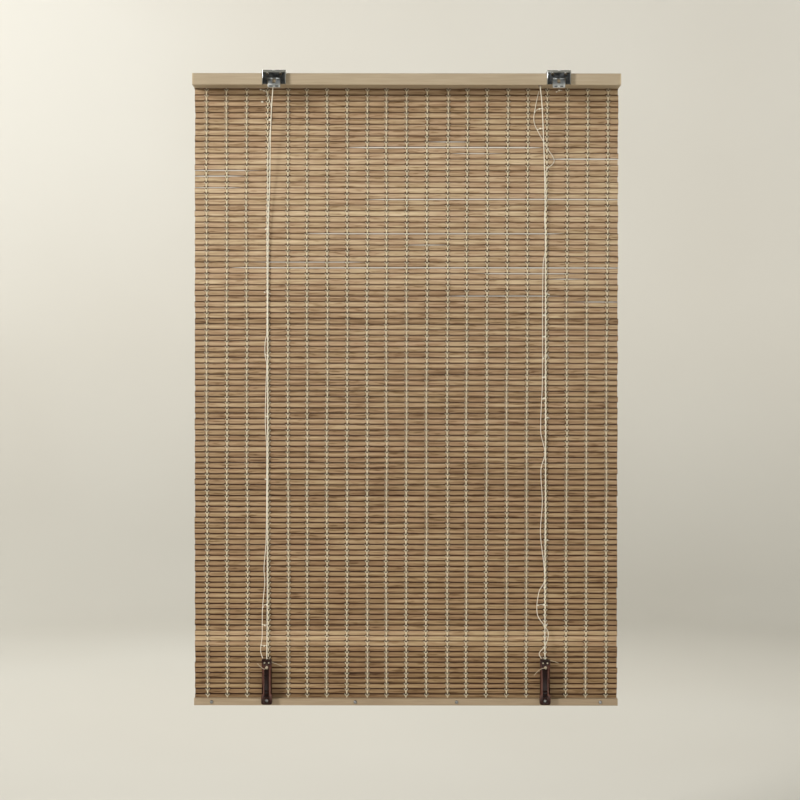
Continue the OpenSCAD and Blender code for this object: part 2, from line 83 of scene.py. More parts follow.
def settle(obj, name):
    """Names a new object and puts its place and size into its mesh."""
    obj.name = name
    only(obj)
    bpy.ops.object.transform_apply(location=True, rotation=True, scale=True)
    return obj


def block(name, low, high):
    """A cube primitive at its real size and place."""
    bpy.ops.object.select_all(action="DESELECT")
    middle = [(a + b) / 2 for a, b in zip(low, high)]
    size = [b - a for a, b in zip(low, high)]
    bpy.ops.mesh.primitive_cube_add(size=1, location=middle, scale=size)
    return settle(bpy.context.object, name)


def edit(obj):
    """Goes into edit mode, on edges, with nothing selected."""
    only(obj)
    bpy.ops.object.mode_set(mode="EDIT")
    bpy.ops.mesh.select_mode(type="EDGE")
    bpy.ops.mesh.select_all(action="DESELECT")


def select_edges(obj, test):
    """Selects the edges whose two ends pass the test, in edit mode."""
    shape = bmesh.from_edit_mesh(obj.data)
    for edge in shape.edges:
        edge.select_set(test(edge.verts[0].co, edge.verts[1].co))
    bmesh.update_edit_mesh(obj.data)


def done():
    """Goes back to object mode."""
    bpy.ops.object.mode_set(mode="OBJECT")


def apply_modifier(obj, kind, **settings):
    """Adds one modifier and applies it."""
    only(obj)
    modifier = obj.modifiers.new("shape", kind)
    for key, value in settings.items():
        setattr(modifier, key, value)
    bpy.ops.object.modifier_apply(modifier=modifier.name)


def smooth(obj, degrees):
    """Shades a piece smooth, apart from edges sharper than the angle."""
    only(obj)
    bpy.ops.object.shade_smooth_by_angle(angle=math.radians(degrees))
    return obj


def twin(obj, name):
    """A copy with a mesh of its own."""
    copy = obj.copy()
    copy.data = obj.data.copy()
    copy.name = name
    bpy.context.scene.collection.objects.link(copy)
    return copy


def joined(objects, name):
    """One object made of several."""
    only(objects[0])
    for obj in objects:
        obj.select_set(True)
    if len(objects) > 1:
        bpy.ops.object.join()
    objects[0].name = name
    return objects[0]


def moved(obj, shift):
    """Moves a piece in its mesh."""
    coords = coordinates(obj)
    put_coordinates(obj, coords + np.array(shift))
    return obj


def coordinates(obj):
    """The places of a mesh's vertices, one row for each."""
    flat = np.zeros(len(obj.data.vertices) * 3)
    obj.data.vertices.foreach_get("co", flat)
    return flat.reshape(-1, 3)


def put_coordinates(obj, coords):
    """Moves a mesh's vertices to the given places."""
    obj.data.vertices.foreach_set("co", np.ascontiguousarray(coords).ravel())
    obj.data.update()


def put_attribute(obj, name, values):
    """Stores one number per vertex for the finishes to read."""
    attribute = obj.data.attributes.new(name, "FLOAT", "POINT")
    attribute.data.foreach_set("value", np.asarray(values, np.float32))


# Camera at the photograph's viewing angle, fitted to the corners of both rails and the locks
PHOTO_SIDE = 800
FOCAL_PIXELS = 1802.4
SENSOR = 36
CAMERA_PLACE = Vector((-7.4, -2561, -439.8)) * MM
CAMERA_TURN = (math.pi / 2 - 0.01105, -0.0011, 0.0006)


def place_camera():
    """The camera where the photograph was taken from."""
    data = bpy.data.cameras.new("photo_camera")
    data.sensor_width = SENSOR
    data.lens = FOCAL_PIXELS / PHOTO_SIDE * SENSOR
    camera = bpy.data.objects.new("photo_camera", data)
    camera.location = CAMERA_PLACE
    camera.rotation_euler = CAMERA_TURN
    bpy.context.scene.collection.objects.link(camera)
    bpy.context.scene.camera = camera


# Cords: the routes repeat the solids' points
CORD_DIA = 1.3 * MM
LADDER_DIA = 0.9 * MM
THREAD_DIA = 0.7 * MM
THREAD_SIDES = 6
CORD_STEP = 2.5 * MM
# Places along the routes, in millimetres
EYELET_X = 190.5
CORD_Y = 13.05
CORD_Z = -10.25
SPOOL_X = 37.66
INNER_SHARE = 0.6
PULLEY_X = 187.3
PULLEY_R = 3.2
PULLEY_Z = CORD_Z - PULLEY_R
EYELET_FOOT = -21
LOCK_X = 200
LOCK_TOP = -841
LOCK_CORD_Y = 25.5
CORD_LEAD = 1
CORD_HELD = 3
LIFT_RUN = {
    "left": [
        (-192.2, 18, -40), (-193.9, 23, -63), (-195.4, 28, -101), (-196.4, 32, -153),
        (-198.6, 35, -210), (-199.3, 36.4, -297), (-199.9, 36.4, -441), (-199.5, 36.4, -533),
        (-200.1, 36.4, -620), (-200, 36.4, -700), (-200, 35, -764), (-200, 28, -825)],
    "right": [
        (193, 18, -40), (195.3, 23, -73), (197.2, 28, -110), (198.8, 32, -153),
        (200, 35, -225), (200.4, 36.4, -297), (200.8, 36.4, -441), (201, 36.4, -585),
        (200.5, 36.4, -700), (200.3, 35, -764), (200, 28, -825)],
}
LADDER_RUN = {
    "left": [
        (-201.8, 38, -24), (-194.6, 38, -50), (-197, 38, -88), (-200.2, 38, -124), (-200.2, 38, -160),
        (-201, 38, -222), (-201, 38, -372), (-203.4, 38, -385), (-203.4, 38, -405), (-201.2, 38, -416),
        (-202, 38, -441), (-203.2, 38, -498), (-201.4, 38, -535), (-202, 38, -671), (-205, 38, -712),
        (-203.8, 37.6, -731), (-207, 35.5, -770), (-207.2, 32, -810), (-209, 28, -829), (-206, 26, -840)],
    "right": [
        (190.4, 38, -24), (185.8, 38, -45), (183.2, 38, -64), (186, 38, -75), (203.6, 38, -107),
        (212.6, 38, -122), (211, 38, -128), (201.8, 38, -137), (201.2, 38, -178), (198.8, 38, -205),
        (201.2, 38, -245), (197, 38, -275), (196.4, 38, -441), (194.2, 38, -514), (200.2, 38, -545),
        (194.6, 38, -568), (196.6, 38, -616), (194, 38, -660), (199.6, 38, -712), (199.5, 38, -731),
        (192, 37, -745), (189.5, 36, -777), (200.5, 34, -795), (205.2, 33, -804), (201.3, 31, -821),
        (191.6, 28, -833), (195, 27, -840)],
}
# Short threads tied across the ladder: each is a run of points from knot to knot or to a loose end
RUNGS = {
    "left": [
        [(-210.2, 38.2, -21.9), (-206, 37.8, -23), (-201.8, 37.9, -25)],
        [(-208.6, 38, -39.5), (-207.2, 37.6, -39.8)],
        [(-197.6, 37.6, -66), (-194.5, 30, -65.9)],
        [(-203, 37.7, -222.8), (-200.6, 37.4, -222), (-198.8, 36.2, -222.4)],
        [(-204.2, 37.8, -313.5), (-201, 37.4, -312.8), (-199.3, 36.2, -314), (-195, 37.2, -316)],
        [(-203.2, 37.6, -403), (-199.8, 36.6, -405), (-197.1, 37.2, -406.5)],
        [(-202.8, 37.6, -492), (-199.8, 36.6, -492.5)],
        [(-203, 37.6, -583), (-199.7, 36.6, -583.6), (-197.6, 37.4, -586)],
        [(-206.6, 36.2, -768), (-203, 36, -763.5), (-200, 35.4, -764.8), (-197.4, 36.6, -770)],
        [(-207, 34, -792.1), (-203.6, 33.4, -793.4), (-200, 32, -792.1)],
        [(-208.4, 30, -821.4), (-204, 29.6, -822.6), (-200, 28.6, -821.4)]],
    "right": [
        [(184.4, 38, -54), (187.2, 37.6, -51), (190.4, 30, -50.6), (194.2, 20.6, -51.4), (197, 21.4, -52.4)],
        [(188.6, 37.8, -79.4), (191.4, 32, -78.4), (195.6, 23.8, -79.6)],
        [(215.7, 38, -24.6), (219.6, 37.7, -22.8), (223.5, 38, -22.6)],
        [(205.5, 37.6, -316.3), (202.6, 37, -315.2), (200.4, 36.4, -316)],
        [(196.8, 37.8, -346.5), (198.6, 37, -346), (200.5, 36.4, -346.5)],
        [(196.6, 37.8, -377.5), (198.6, 37, -377), (200.6, 36.4, -377.5)],
        [(197.7, 37.6, -408.5), (201.6, 36.6, -403.4), (206.2, 37.6, -408)],
        [(196.5, 37.8, -435.8), (198.6, 37, -435.2), (200.8, 36.4, -435.8)],
        [(196.3, 37.8, -466.8), (198.6, 37, -466.2), (200.9, 36.4, -466.8)],
        [(200.9, 36.4, -494.3), (204, 37, -493.6), (207, 37.8, -494.6)],
        [(201, 36.4, -671.7), (203.8, 36.9, -670.4), (206.4, 37.8, -671)],
        [(199.4, 37.4, -738.6), (202.8, 36.6, -738.2)],
        [(190.6, 36.4, -764.3), (195, 36.4, -763.4), (200.3, 35, -764), (204.6, 36.2, -765.2)],
        [(200.4, 34, -795), (204.4, 33.4, -790.5)]],
}
# Loose thread ends at the head of each lock, and the knot that they come out of
LOCK_TAILS = {
    "left": [
        [(-213.5, 23.4, -847), (-208.6, 21.6, -851.6), (-203.1, 20.3, -854.6), (-199.8, 20.2, -853)],
        [(-196.6, 22, -841), (-191.6, 24, -845.6), (-184, 25.2, -848.6), (-178.1, 26, -851.3)]],
    "right": [
        [(184.1, 24, -863.8), (189.6, 22, -857.4), (195.4, 20.5, -853.4), (200.9, 20.2, -852.7)],
        [(204, 22, -841), (208, 23.2, -842.4), (213.6, 25, -844.2), (219.5, 27, -846.6)]],
}
LOCK_KNOT = {"left": (-199.7, 20.4, -852.6), "right": (200.2, 20.4, -852.6)}
# The two loops of that knot: shift and size in millimetres, and turn in radians
LOCK_KNOT_LOOPS = (((0, 0, 0), 1.9, 0.4), ((0, 0.3, 0.6), 1.6, 1.3))
# Sizes of the knots in the middle and at the start of a short thread, in millimetres
RUNG_KNOT = 1.15
RUNG_START_KNOT = 0.8
KNOT_STEPS = 24
# Cut cord ends in the two holes at the head of a lock, placed in millimetres; their pale ends also stand in
# for two glints on the lock's head, as painted highlights
STUB_GAP = 3.1
STUB_Z = -846
STUB_FACE = 20.1
STUB_LEN = 5
STUB_R = 0.95 * MM
STUB_ROUND = 0.55 * MM
STUB_SIDES = 12


def scaled(points):
    """Points in millimetres as vectors in metres."""
    return [Vector(p) * MM for p in points]


def smooth_path(points, step):
    """Points about a step apart on the smooth curve through the given points."""
    last = len(points) - 1
    heading = [(points[min(i + 1, last)] - points[max(i - 1, 0)]).normalized() for i in range(last + 1)]
    path = [points[0]]
    for i in range(last):
        start = points[i]
        end = points[i + 1]
        reach = (end - start).length
        count = max(2, round(reach / step) + 1)
        pull = reach / 3
        bend = interpolate_bezier(start, start + heading[i] * pull, end - heading[i + 1] * pull, end, count)
        path += bend[1:]
    return path


def tube(name, paths, radius, sides=8, reference=Y_AXIS):
    """Round threads along the paths. The UV map holds the turn round a thread and the length along it."""
    shape = bmesh.new()
    uv = shape.loops.layers.uv.new("thread")
    for path in paths:
        rings = []
        along = [0.0]
        for i, point in enumerate(path):
            ahead = (path[min(i + 1, len(path) - 1)] - path[max(i - 1, 0)]).normalized()
            thin = ahead.cross(reference).normalized()
            wide = thin.cross(ahead)
            turns = [2 * math.pi * j / sides for j in range(sides)]
            rings.append([shape.verts.new(point + radius * (wide * math.cos(a) + thin * math.sin(a)))
                          for a in turns])
            if i:
                along.append(along[-1] + (point - path[i - 1]).length)
        for i in range(len(path) - 1):
            for j in range(sides):
                k = (j + 1) % sides
                face = shape.faces.new((rings[i][j], rings[i][k], rings[i + 1][k], rings[i + 1][j]))
                corners = ((j, i), (j + 1, i), (j + 1, i + 1), (j, i + 1))
                for loop, (turn, ring) in zip(face.loops, corners):
                    loop[uv].uv = (turn / sides, along[ring])
        shape.faces.new(rings[0])
        shape.faces.new(rings[-1])
    bmesh.ops.recalc_face_normals(shape, faces=shape.faces)
    mesh = bpy.data.meshes.new(name)
    shape.to_mesh(mesh)
    shape.free()
    obj = bpy.data.objects.new(name, mesh)
    bpy.context.scene.collection.objects.link(obj)
    return smooth(obj, THREAD_ANGLE)


def knot_path(middle, size, turn):
    """A trefoil, as an overhand knot lies."""
    path = []
    for i in range(KNOT_STEPS + 1):
        t = 2 * math.pi * i / KNOT_STEPS
        x = math.sin(t) + 2 * math.sin(2 * t)
        z = math.cos(t) - 2 * math.cos(2 * t)
        lean = x * math.cos(turn) - z * math.sin(turn), x * math.sin(turn) + z * math.cos(turn)
        path.append(middle + Vector((lean[0], -math.sin(3 * t), lean[1])) * size / 3)
    return path


def lift_paths(side):
    """The stretch inside the headrail, the free stretch below the eyelet, and the end held in the lock."""
    s = SIDES[side]
    turn = [(s * (PULLEY_X + PULLEY_R * math.sin(a)), CORD_Y, PULLEY_Z + PULLEY_R * math.cos(a))
            for a in (0, math.pi / 6, math.pi / 3, math.pi / 2)]
    foot = (s * EYELET_X, CORD_Y, EYELET_FOOT)
    inner = [(s * SPOOL_X, CORD_Y, CORD_Z), (s * INNER_SHARE * EYELET_X, CORD_Y, CORD_Z)] + turn + [foot]
    entry = (s * LOCK_X, LOCK_CORD_Y, LOCK_TOP + CORD_LEAD)
    outer = [foot, (s * EYELET_X, CORD_Y, EYELET_FOOT - CORD_LEAD)] + LIFT_RUN[side] + [entry]
    end = [entry, (s * LOCK_X, LOCK_CORD_Y, LOCK_TOP - CORD_HELD)]
    return smooth_path(scaled(inner), CORD_STEP), smooth_path(scaled(outer), CORD_STEP), scaled(end)


def make_cords(side):
    """Lift cord, ladder cord, its short threads and knots, and the thread and cord ends at the lock."""
    made = {}
    inner, outer, end = lift_paths(side)
    made["inner"] = tube(f"lift_cord_{side}_inside", [inner], CORD_DIA / 2)
    made["lift"] = tube(f"lift_cord_{side}_hanging", [outer], CORD_DIA / 2)
    made["end"] = tube(f"lift_cord_{side}_end", [end], CORD_DIA / 2)
    ladder = smooth_path(scaled(LADDER_RUN[side]), CORD_STEP)
    made["ladder"] = tube(f"ladder_cord_{side}_hanging", [ladder], LADDER_DIA / 2)
    rungs = [smooth_path(scaled(run), MM) for run in RUNGS[side]]
    ties = []
    for i, run in enumerate(rungs):
        ties.append(knot_path(run[len(run) // 2], RUNG_KNOT * MM, i))
        ties.append(knot_path(run[0], RUNG_START_KNOT * MM, 2 * i))
    made["rungs"] = tube(f"ladder_rungs_{side}", rungs + ties, THREAD_DIA / 2, THREAD_SIDES)
    tails = [smooth_path(scaled(run), MM) for run in LOCK_TAILS[side]]
    middle = Vector(LOCK_KNOT[side]) * MM
    knots = [knot_path(middle + Vector(shift) * MM, size * MM, turn)
             for shift, size, turn in LOCK_KNOT_LOOPS]
    made["tails"] = tube(f"lock_threads_{side}", tails + knots, THREAD_DIA / 2, THREAD_SIDES)
    # Pale cord ends that also stand in for two glints on the lock's head: painted highlights
    holes = [SIDES[side] * LOCK_X + beside for beside in (-STUB_GAP, STUB_GAP)]
    stubs = [scaled([(x, STUB_FACE + STUB_LEN, STUB_Z), (x, STUB_FACE, STUB_Z)]) for x in holes]
    made["stubs"] = round_ends(tube(f"cord_stubs_{side}", stubs, STUB_R, STUB_SIDES, X_AXIS))
    made["paths"] = outer, ladder
    return made


def round_ends(obj):
    """Rounds the cut ends of short cord stubs."""
    edit(obj)
    ends = STUB_FACE * MM + HAIR
    select_edges(obj, lambda a, b: a.y < ends and b.y < ends)
    bpy.ops.mesh.bevel(offset=STUB_ROUND, segments=3, affect="EDGES")
    done()
    return smooth(obj, THREAD_ANGLE)


# Mat: slats laid row by row and chained warp threads
SLATS = 113
SLAT_GAP = 0.8 * MM
SLAT_TAPER = 0.05
SLAT_ROUND = 0.85 * MM
CLOSE_GAP = 0.03 * MM
# How single slats differ: tilt in degrees, depth and shift in millimetres, and length
SLAT_SEED = 1000
SLAT_TILT = 3.2
SLAT_DEPTH = 0.12
SLAT_SHIFT = 0.4
SLAT_STRETCH = (-0.0022, 0.0006)
# How the lines between slats bow: size in millimetres and half waves across the mat
LINE_SEED = 400
LINE_BOW = (0.08, 0.3)
LINE_WAVES = (1.2, 3.4)
WAVE_START = (0, 6.28)
WARPS = 21
WARP_PITCH = 28.9 * MM
STRAND_R = 0.46 * MM
STRAND_SIDES = 5
STRAND_SPREAD = 2.8 * MM
STRAND_LIFT = 0.6 * MM
# Down one slat, as shares: how far down, how far to the side, and how far out of the mat
LOOP_STOPS = ((0.02, 1.0, 0.1), (0.05, 0.98, 0.8), (0.12, 0.8, 1.0), (0.38, 0.17, 1.0),
              (0.55, 0.13, 1.0), (0.82, 0.13, 1.0), (0.92, 0.11, 0.85), (0.98, 0.08, 0.1))
STRAIGHT_STOPS = ((0.02, 0, 0.1), (0.1, 0, 1.0), (0.9, 0, 1.0), (0.98, 0, 0.1))
# How far each warp thread lies beside its even pitch, in millimetres, and how far the outer ones lean
WARP_DRIFT = (
    1.4, 1.4, 1.4, 3.2, 2.8, 1.5, 1.4, 1.4, 1.5, 0.3, 0.3,
    0.5, 1.8, 0.4, 0.5, 0.8, 0.8, -0.5, 0.2, 0.1, 0.2)
WARP_LEAN = 0.8
# Waves in a warp thread: length in metres and size in millimetres, with the least share of that size
WARP_SEED = 50
WARP_WAVES = ((0.9, 0.4), (0.31, 0.4), (0.12, 0.25))
WARP_WAVE_LEAST = 0.3
# The slats are cut across beside each warp thread, where it grips them and painted shade darkens their
# edges, in millimetres
PINCH_NEAR = 2.7
PINCH_FAR = 4.5
PINCH_MARGIN = 1
PINCH_CUTS = (-PINCH_FAR, -PINCH_NEAR, PINCH_NEAR, PINCH_FAR)
WARP_HOMES = (np.arange(WARPS) - (WARPS - 1) / 2) * WARP_PITCH
mat_top = mat_high.z + SLAT_GAP / 2
mat_len = mat_high.z - mat_low.z + SLAT_GAP
mat_mid_y = (mat_low.y + mat_high.y) / 2
MAT_MIDDLE = Vector((0, mat_mid_y, (mat_top + mat_low.z) / 2))
# Lines that let light through: number from the top, start and end in x, and width, in millimetres
LIGHT_LINES = {
    11: (30, 92, 1.0), 12: (-85, 198, 1.5), 13: (66, 128, 0.9), 14: (205, 312, 1.6),
    16: (-312, -222, 1.1), 17: (-312, -232, 1.2), 19: (-312, -238, 0.9), 21: (-55, 312, 1.3),
    27: (-146, 228, 1.1), 29: (0, 60, 0.9), 32: (-210, -60, 0.9), 33: (-252, 312, 1.3),
    34: (110, 238, 1.0), 35: (206, 258, 0.9), 38: (60, 212, 0.9), 39: (250, 312, 1.0)}
LIGHT_FADE = 12
# Tone of the slats: its mean and spread, and the share of darker slats
TONE_MEAN = 0.5
TONE_SPREAD = 0.16
DARK_SHARE = 0.1
DARK_TONE = 0.25
# Light slats near the hem, with their tones, and paler ones near the top, painted light where more light
# falls on the mat; both show less of the painted shade at the slat edges
LIGHT_ROWS = {99: 1.6, 100: 1.85, 101: 1.4}
LIGHT_ROW_EDGE = 0.9
PAINTED_LIGHT_ROWS = range(12, 36)
PAINTED_LIGHT_TONE = 0.3
PAINTED_LIGHT_ROW_EDGE = 0.95
# Slats that lie straight behind the headrail
HEAD_ROWS = 2
# The mat folds into panels of this many slats; those above the raised rail and those on it never fold
TOP_ROWS = 20
HEM_ROWS = 2
FOLD_ROWS = 7


def slat_line(i):
    """Height of the line between two slats; the slats run a little taller at the top."""
    u = i / SLATS
    return mat_top - mat_len * (u + SLAT_TAPER * u * (1 - u))


def model_slat():
    """One slat about z = 0: a bar with rounded long edges, cut across so that it can bow."""
    half = mat_len / SLATS / 2
    slat = block("slat", (mat_low.x, mat_low.y, -half), (mat_high.x, mat_high.y, half))
    long = (mat_high.x - mat_low.x) / 2
    edit(slat)
    select_edges(slat, lambda a, b: abs(a.x - b.x) > long)
    bpy.ops.mesh.bevel(offset=SLAT_ROUND, segments=2, affect="EDGES")
    bpy.ops.mesh.select_all(action="DESELECT")
    select_edges(slat, lambda a, b: abs(a.x - b.x) > long)
    cuts = [home + beside * MM for home in WARP_HOMES for beside in PINCH_CUTS]
    bpy.ops.mesh.subdivide(number_cuts=len(cuts))
    done()
    coords = coordinates(slat)
    stations = np.array([mat_low.x] + cuts + [mat_high.x])
    step = (mat_high.x - mat_low.x) / (len(stations) - 1)
    coords[:, 0] = stations[np.rint((coords[:, 0] - mat_low.x) / step).astype(int)]
    put_coordinates(slat, coords)
    return slat


def warp_offset(k, z):
    """How far a warp thread lies beside its even pitch at each height."""
    chance = random.Random(WARP_SEED + k)
    height = (z - MAT_MIDDLE.z) / (mat_len / 2)
    offset = (WARP_DRIFT[k] + WARP_LEAN * (2 * k / (WARPS - 1) - 1) * height) * MM
    for length, size in WARP_WAVES:
        offset = offset + size * MM * chance.uniform(WARP_WAVE_LEAST, 1) * np.sin(
            2 * math.pi * z / length + chance.uniform(*WAVE_START))
    return offset


def pinch_slat(row, x):
    """Each point's x, with the cuts moved to where the warp threads cross, and how near it lies to a thread,
    which widens the painted shade at its edges.
    """
    near = np.abs(x[:, None] - WARP_HOMES[None, :]).argmin(axis=1)
    beside = np.abs(x - WARP_HOMES[near]) / MM
    middle = (slat_line(row) + slat_line(row + 1)) / 2
    offsets = np.array([warp_offset(k, middle) for k in range(WARPS)])
    moved_x = np.where(beside < PINCH_FAR + PINCH_MARGIN, x + offsets[near], x)
    return moved_x, np.clip((PINCH_FAR - beside) / (PINCH_FAR - PINCH_NEAR), 0, 1)


def line_height(line, x):
    """The line between two slats at each x, a little bowed except at the rails."""
    chance = random.Random(LINE_SEED + line)
    held = line < HEAD_ROWS or line > SLATS - HEM_ROWS
    bow = 0 if held else chance.uniform(*LINE_BOW) * MM
    waves = chance.uniform(*LINE_WAVES) * math.pi / (mat_high.x - mat_low.x)
    return slat_line(line) + bow * np.sin(waves * x + chance.uniform(*WAVE_START))


def light_gap(line, x):
    """How far the slats on a line stand apart at each x."""
    if line not in LIGHT_LINES:
        return np.zeros_like(x)
    start, end, width = LIGHT_LINES[line]
    inside = np.clip((x / MM - start) / LIGHT_FADE, 0, 1) * np.clip((end - x / MM) / LIGHT_FADE, 0, 1)
    return inside * width * MM


def lay_slat(slat, row):
    """One slat in its row, a little bowed, tilted and longer or shorter than its neighbours."""
    chance = random.Random(SLAT_SEED + row)
    copy = twin(slat, f"slat_{row}")
    coords = coordinates(slat)
    x, warp_shade = pinch_slat(row, coords[:, 0])
    half = mat_len / SLATS / 2
    share = coords[:, 2] / half
    held = row < HEAD_ROWS or row >= SLATS - HEM_ROWS
    top = line_height(row, x) - CLOSE_GAP / 2 - light_gap(row, x) / 2
    foot = line_height(row + 1, x) + CLOSE_GAP / 2 + light_gap(row + 1, x) / 2
    tilt = 0 if held else math.radians(chance.uniform(-SLAT_TILT, SLAT_TILT))
    depth = 0 if held else chance.uniform(-SLAT_DEPTH, SLAT_DEPTH) * MM
    stretch = 1 + chance.uniform(*SLAT_STRETCH)
    coords[:, 0] = x * stretch + chance.uniform(-SLAT_SHIFT, SLAT_SHIFT) * MM
    coords[:, 2] = (top + foot) / 2 + share * (top - foot) / 2
    coords[:, 1] += depth + share * half * math.tan(tilt)
    put_coordinates(copy, coords)
    put_attribute(copy, "across", share * edge_share(row))
    put_attribute(copy, "warp_shade", warp_shade)
    put_attribute(copy, "tone", np.full(len(x), slat_tone(row, chance)))
    put_attribute(copy, "seed", np.full(len(x), chance.random()))
    return copy


def edge_share(row):
    """How far a slat reaches into the painted shade at the edges of the finish; paler slats reach less far.
    """
    if row in LIGHT_ROWS:
        return LIGHT_ROW_EDGE
    return PAINTED_LIGHT_ROW_EDGE if row in PAINTED_LIGHT_ROWS else 1.0


def slat_tone(row, chance):
    """Most slats are alike, a few are darker, those near the top paler with painted light, and three near
    the hem light.
    """
    if row in LIGHT_ROWS:
        return LIGHT_ROWS[row]
    tone = chance.gauss(TONE_MEAN, TONE_SPREAD)
    if chance.random() < DARK_SHARE:
        tone -= DARK_TONE
    # Painted light on the upper slats
    if row in PAINTED_LIGHT_ROWS:
        tone += PAINTED_LIGHT_TONE
    return max(0.0, tone)


def strand_path(rows, side):
    """One strand of a warp thread: the left or right arm of its chained loops, or the straight one, 0."""
    path = []
    for row in rows:
        top = slat_line(row)
        height = top - slat_line(row + 1)
        for stop, beside, out in LOOP_STOPS if side else STRAIGHT_STOPS:
            z = top - height * stop
            path.append(Vector((side * beside * STRAND_SPREAD, strand_y(side, out, z), z)))
    return path


def strand_y(side, out, z):
    """Loops lie on the window side, the straight strand on the room side; at a rail they are sunk in."""
    half = (mat_high.y - mat_low.y) / 2
    behind_rail = z > head_low.z or z < rail_high.z if side else z < batten_high.z
    reach = half - STRAND_LIFT if behind_rail else half + STRAND_LIFT
    return mat_mid_y + (-1 if side else 1) * out * reach


def weave_warps(rows, name):
    """The warp threads of some rows: one set of strands, repeated across the mat and left to wander."""
    warps = tube(name, [strand_path(rows, side) for side in (-1, 1, 0)], STRAND_R, STRAND_SIDES, X_AXIS)
    moved(warps, (-(WARPS - 1) / 2 * WARP_PITCH, 0, 0))
    count = len(warps.data.vertices)
    apply_modifier(warps, "ARRAY", count=WARPS, use_relative_offset=False, use_constant_offset=True,
                   constant_offset_displace=(WARP_PITCH, 0, 0))
    coords = coordinates(warps)
    for k in range(WARPS):
        thread = coords[k * count:(k + 1) * count]
        thread[:, 0] += warp_offset(k, thread[:, 2])
    put_coordinates(warps, coords)
    return warps


def fold_away(piece):
    """Gives a panel a mesh of its own."""
    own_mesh(piece)


def panel_rows(panel):
    """The rows of slats in one panel, from its top."""
    first = TOP_ROWS + panel * FOLD_ROWS
    return list(range(first, first + FOLD_ROWS))


def make_mat():
    """All slats and warp threads, in one fixed top, the fold panels and the hem on the rail."""
    slat = model_slat()
    panels = (SLATS - TOP_ROWS - HEM_ROWS) // FOLD_ROWS
    groups = [("mat_top", list(range(TOP_ROWS)), None)]
    groups += [(f"mat_panel_{p + 1:02d}", panel_rows(p), p) for p in range(panels)]
    groups += [("mat_hem", list(range(SLATS - HEM_ROWS, SLATS)), None)]
    made = []
    for name, rows, panel in groups:
        slats = smooth(joined([lay_slat(slat, row) for row in rows], name), ROUND_ANGLE)
        warps = weave_warps(rows, name.replace("mat", "warps"))
        made.append((slats, warps, panel))
    bpy.data.objects.remove(slat)
    return made


# Rigid pieces with softened edges, taken from their solids
MERGE_GAP = 0.001 * MM
FLAT_ANGLE = 1.5
PLATE_EDGE = 0.3 * MM
SPRING_EDGE = 0.15 * MM
LOCK_EDGE = 0.7 * MM
# Foot and head of a lock, which have no ridges, and where the crests of its ridges lie, which carry a
# painted highlight
LOCK_FOOT = 12 * MM
LOCK_HEAD = 10 * MM
CREST_DEPTH = 1.3 * MM
CREST_BESIDE = 2 * MM
# Dark lip behind the clip's nose, which gives its slots painted shade: half its width, its two faces in y,
# and its ends above the foot of the clip
SLOT_SHADE_LIP_HALF = 6.8 * MM
SLOT_SHADE_LIP_Y = (1.72 * MM, 2.1 * MM)
SLOT_SHADE_LIP_Z = (0.4 * MM, 2.8 * MM)
# Screws: pan head, one bar of the cross recess, and how far the recess is turned
SCREW_HEAD_R = 2.5 * MM
SCREW_HEAD_H = 1.5 * MM
SCREW_SIDES = 32
SCREW_ROUND = 1.1 * MM
RECESS_BAR = (2.6 * MM, 1.6 * MM, 0.55 * MM)
RECESS_TURN = 0.3
RAIL_SCREW_X = (-280, -73, 73, 280)


def softened(node, name, width, segments=2):
    """A copy of a solid with its faces merged and its sharp edges rounded."""
    piece = twin(nodes[node], name)
    for key in list(piece.keys()):
        del piece[key]
    piece.parent = None
    only(piece)
    bpy.ops.mesh.customdata_custom_splitnormals_clear()
    bpy.ops.object.mode_set(mode="EDIT")
    bpy.ops.mesh.select_all(action="SELECT")
    bpy.ops.mesh.remove_doubles(threshold=MERGE_GAP)
    bpy.ops.mesh.dissolve_limited(angle_limit=math.radians(FLAT_ANGLE))
    done()
    apply_modifier(piece, "BEVEL", width=width, segments=segments, limit_method="ANGLE",
                   angle_limit=math.radians(SHARP_ANGLE), use_clamp_overlap=True)
    return smooth(piece, SHARP_ANGLE)


def mark_crest_highlights(lock):
    """Marks the crests of the ridges beside the groove of a lock, for their painted highlight."""
    coords = coordinates(lock)
    front = coords[:, 1].min()
    middle = (coords[:, 0].min() + coords[:, 0].max()) / 2
    low = coords[:, 2].min() + LOCK_FOOT
    high = coords[:, 2].max() - LOCK_HEAD
    near = (coords[:, 1] < front + CREST_DEPTH) & (np.abs(coords[:, 0] - middle) > CREST_BESIDE)
    put_attribute(lock, "crest_highlight", near & (coords[:, 2] > low) & (coords[:, 2] < high))


def slot_shade_backing(side):
    """The folded lip behind the two slots in the clip's nose, a dark sheet that gives the slots painted
    shade.
    """
    low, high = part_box(f"bracket_clip_{side}")
    middle = (low.x + high.x) / 2
    return block(f"slot_shade_lip_{side}", (middle - SLOT_SHADE_LIP_HALF, SLOT_SHADE_LIP_Y[0], low.z + SLOT_SHADE_LIP_Z[0]),
                 (middle + SLOT_SHADE_LIP_HALF, SLOT_SHADE_LIP_Y[1], low.z + SLOT_SHADE_LIP_Z[1]))


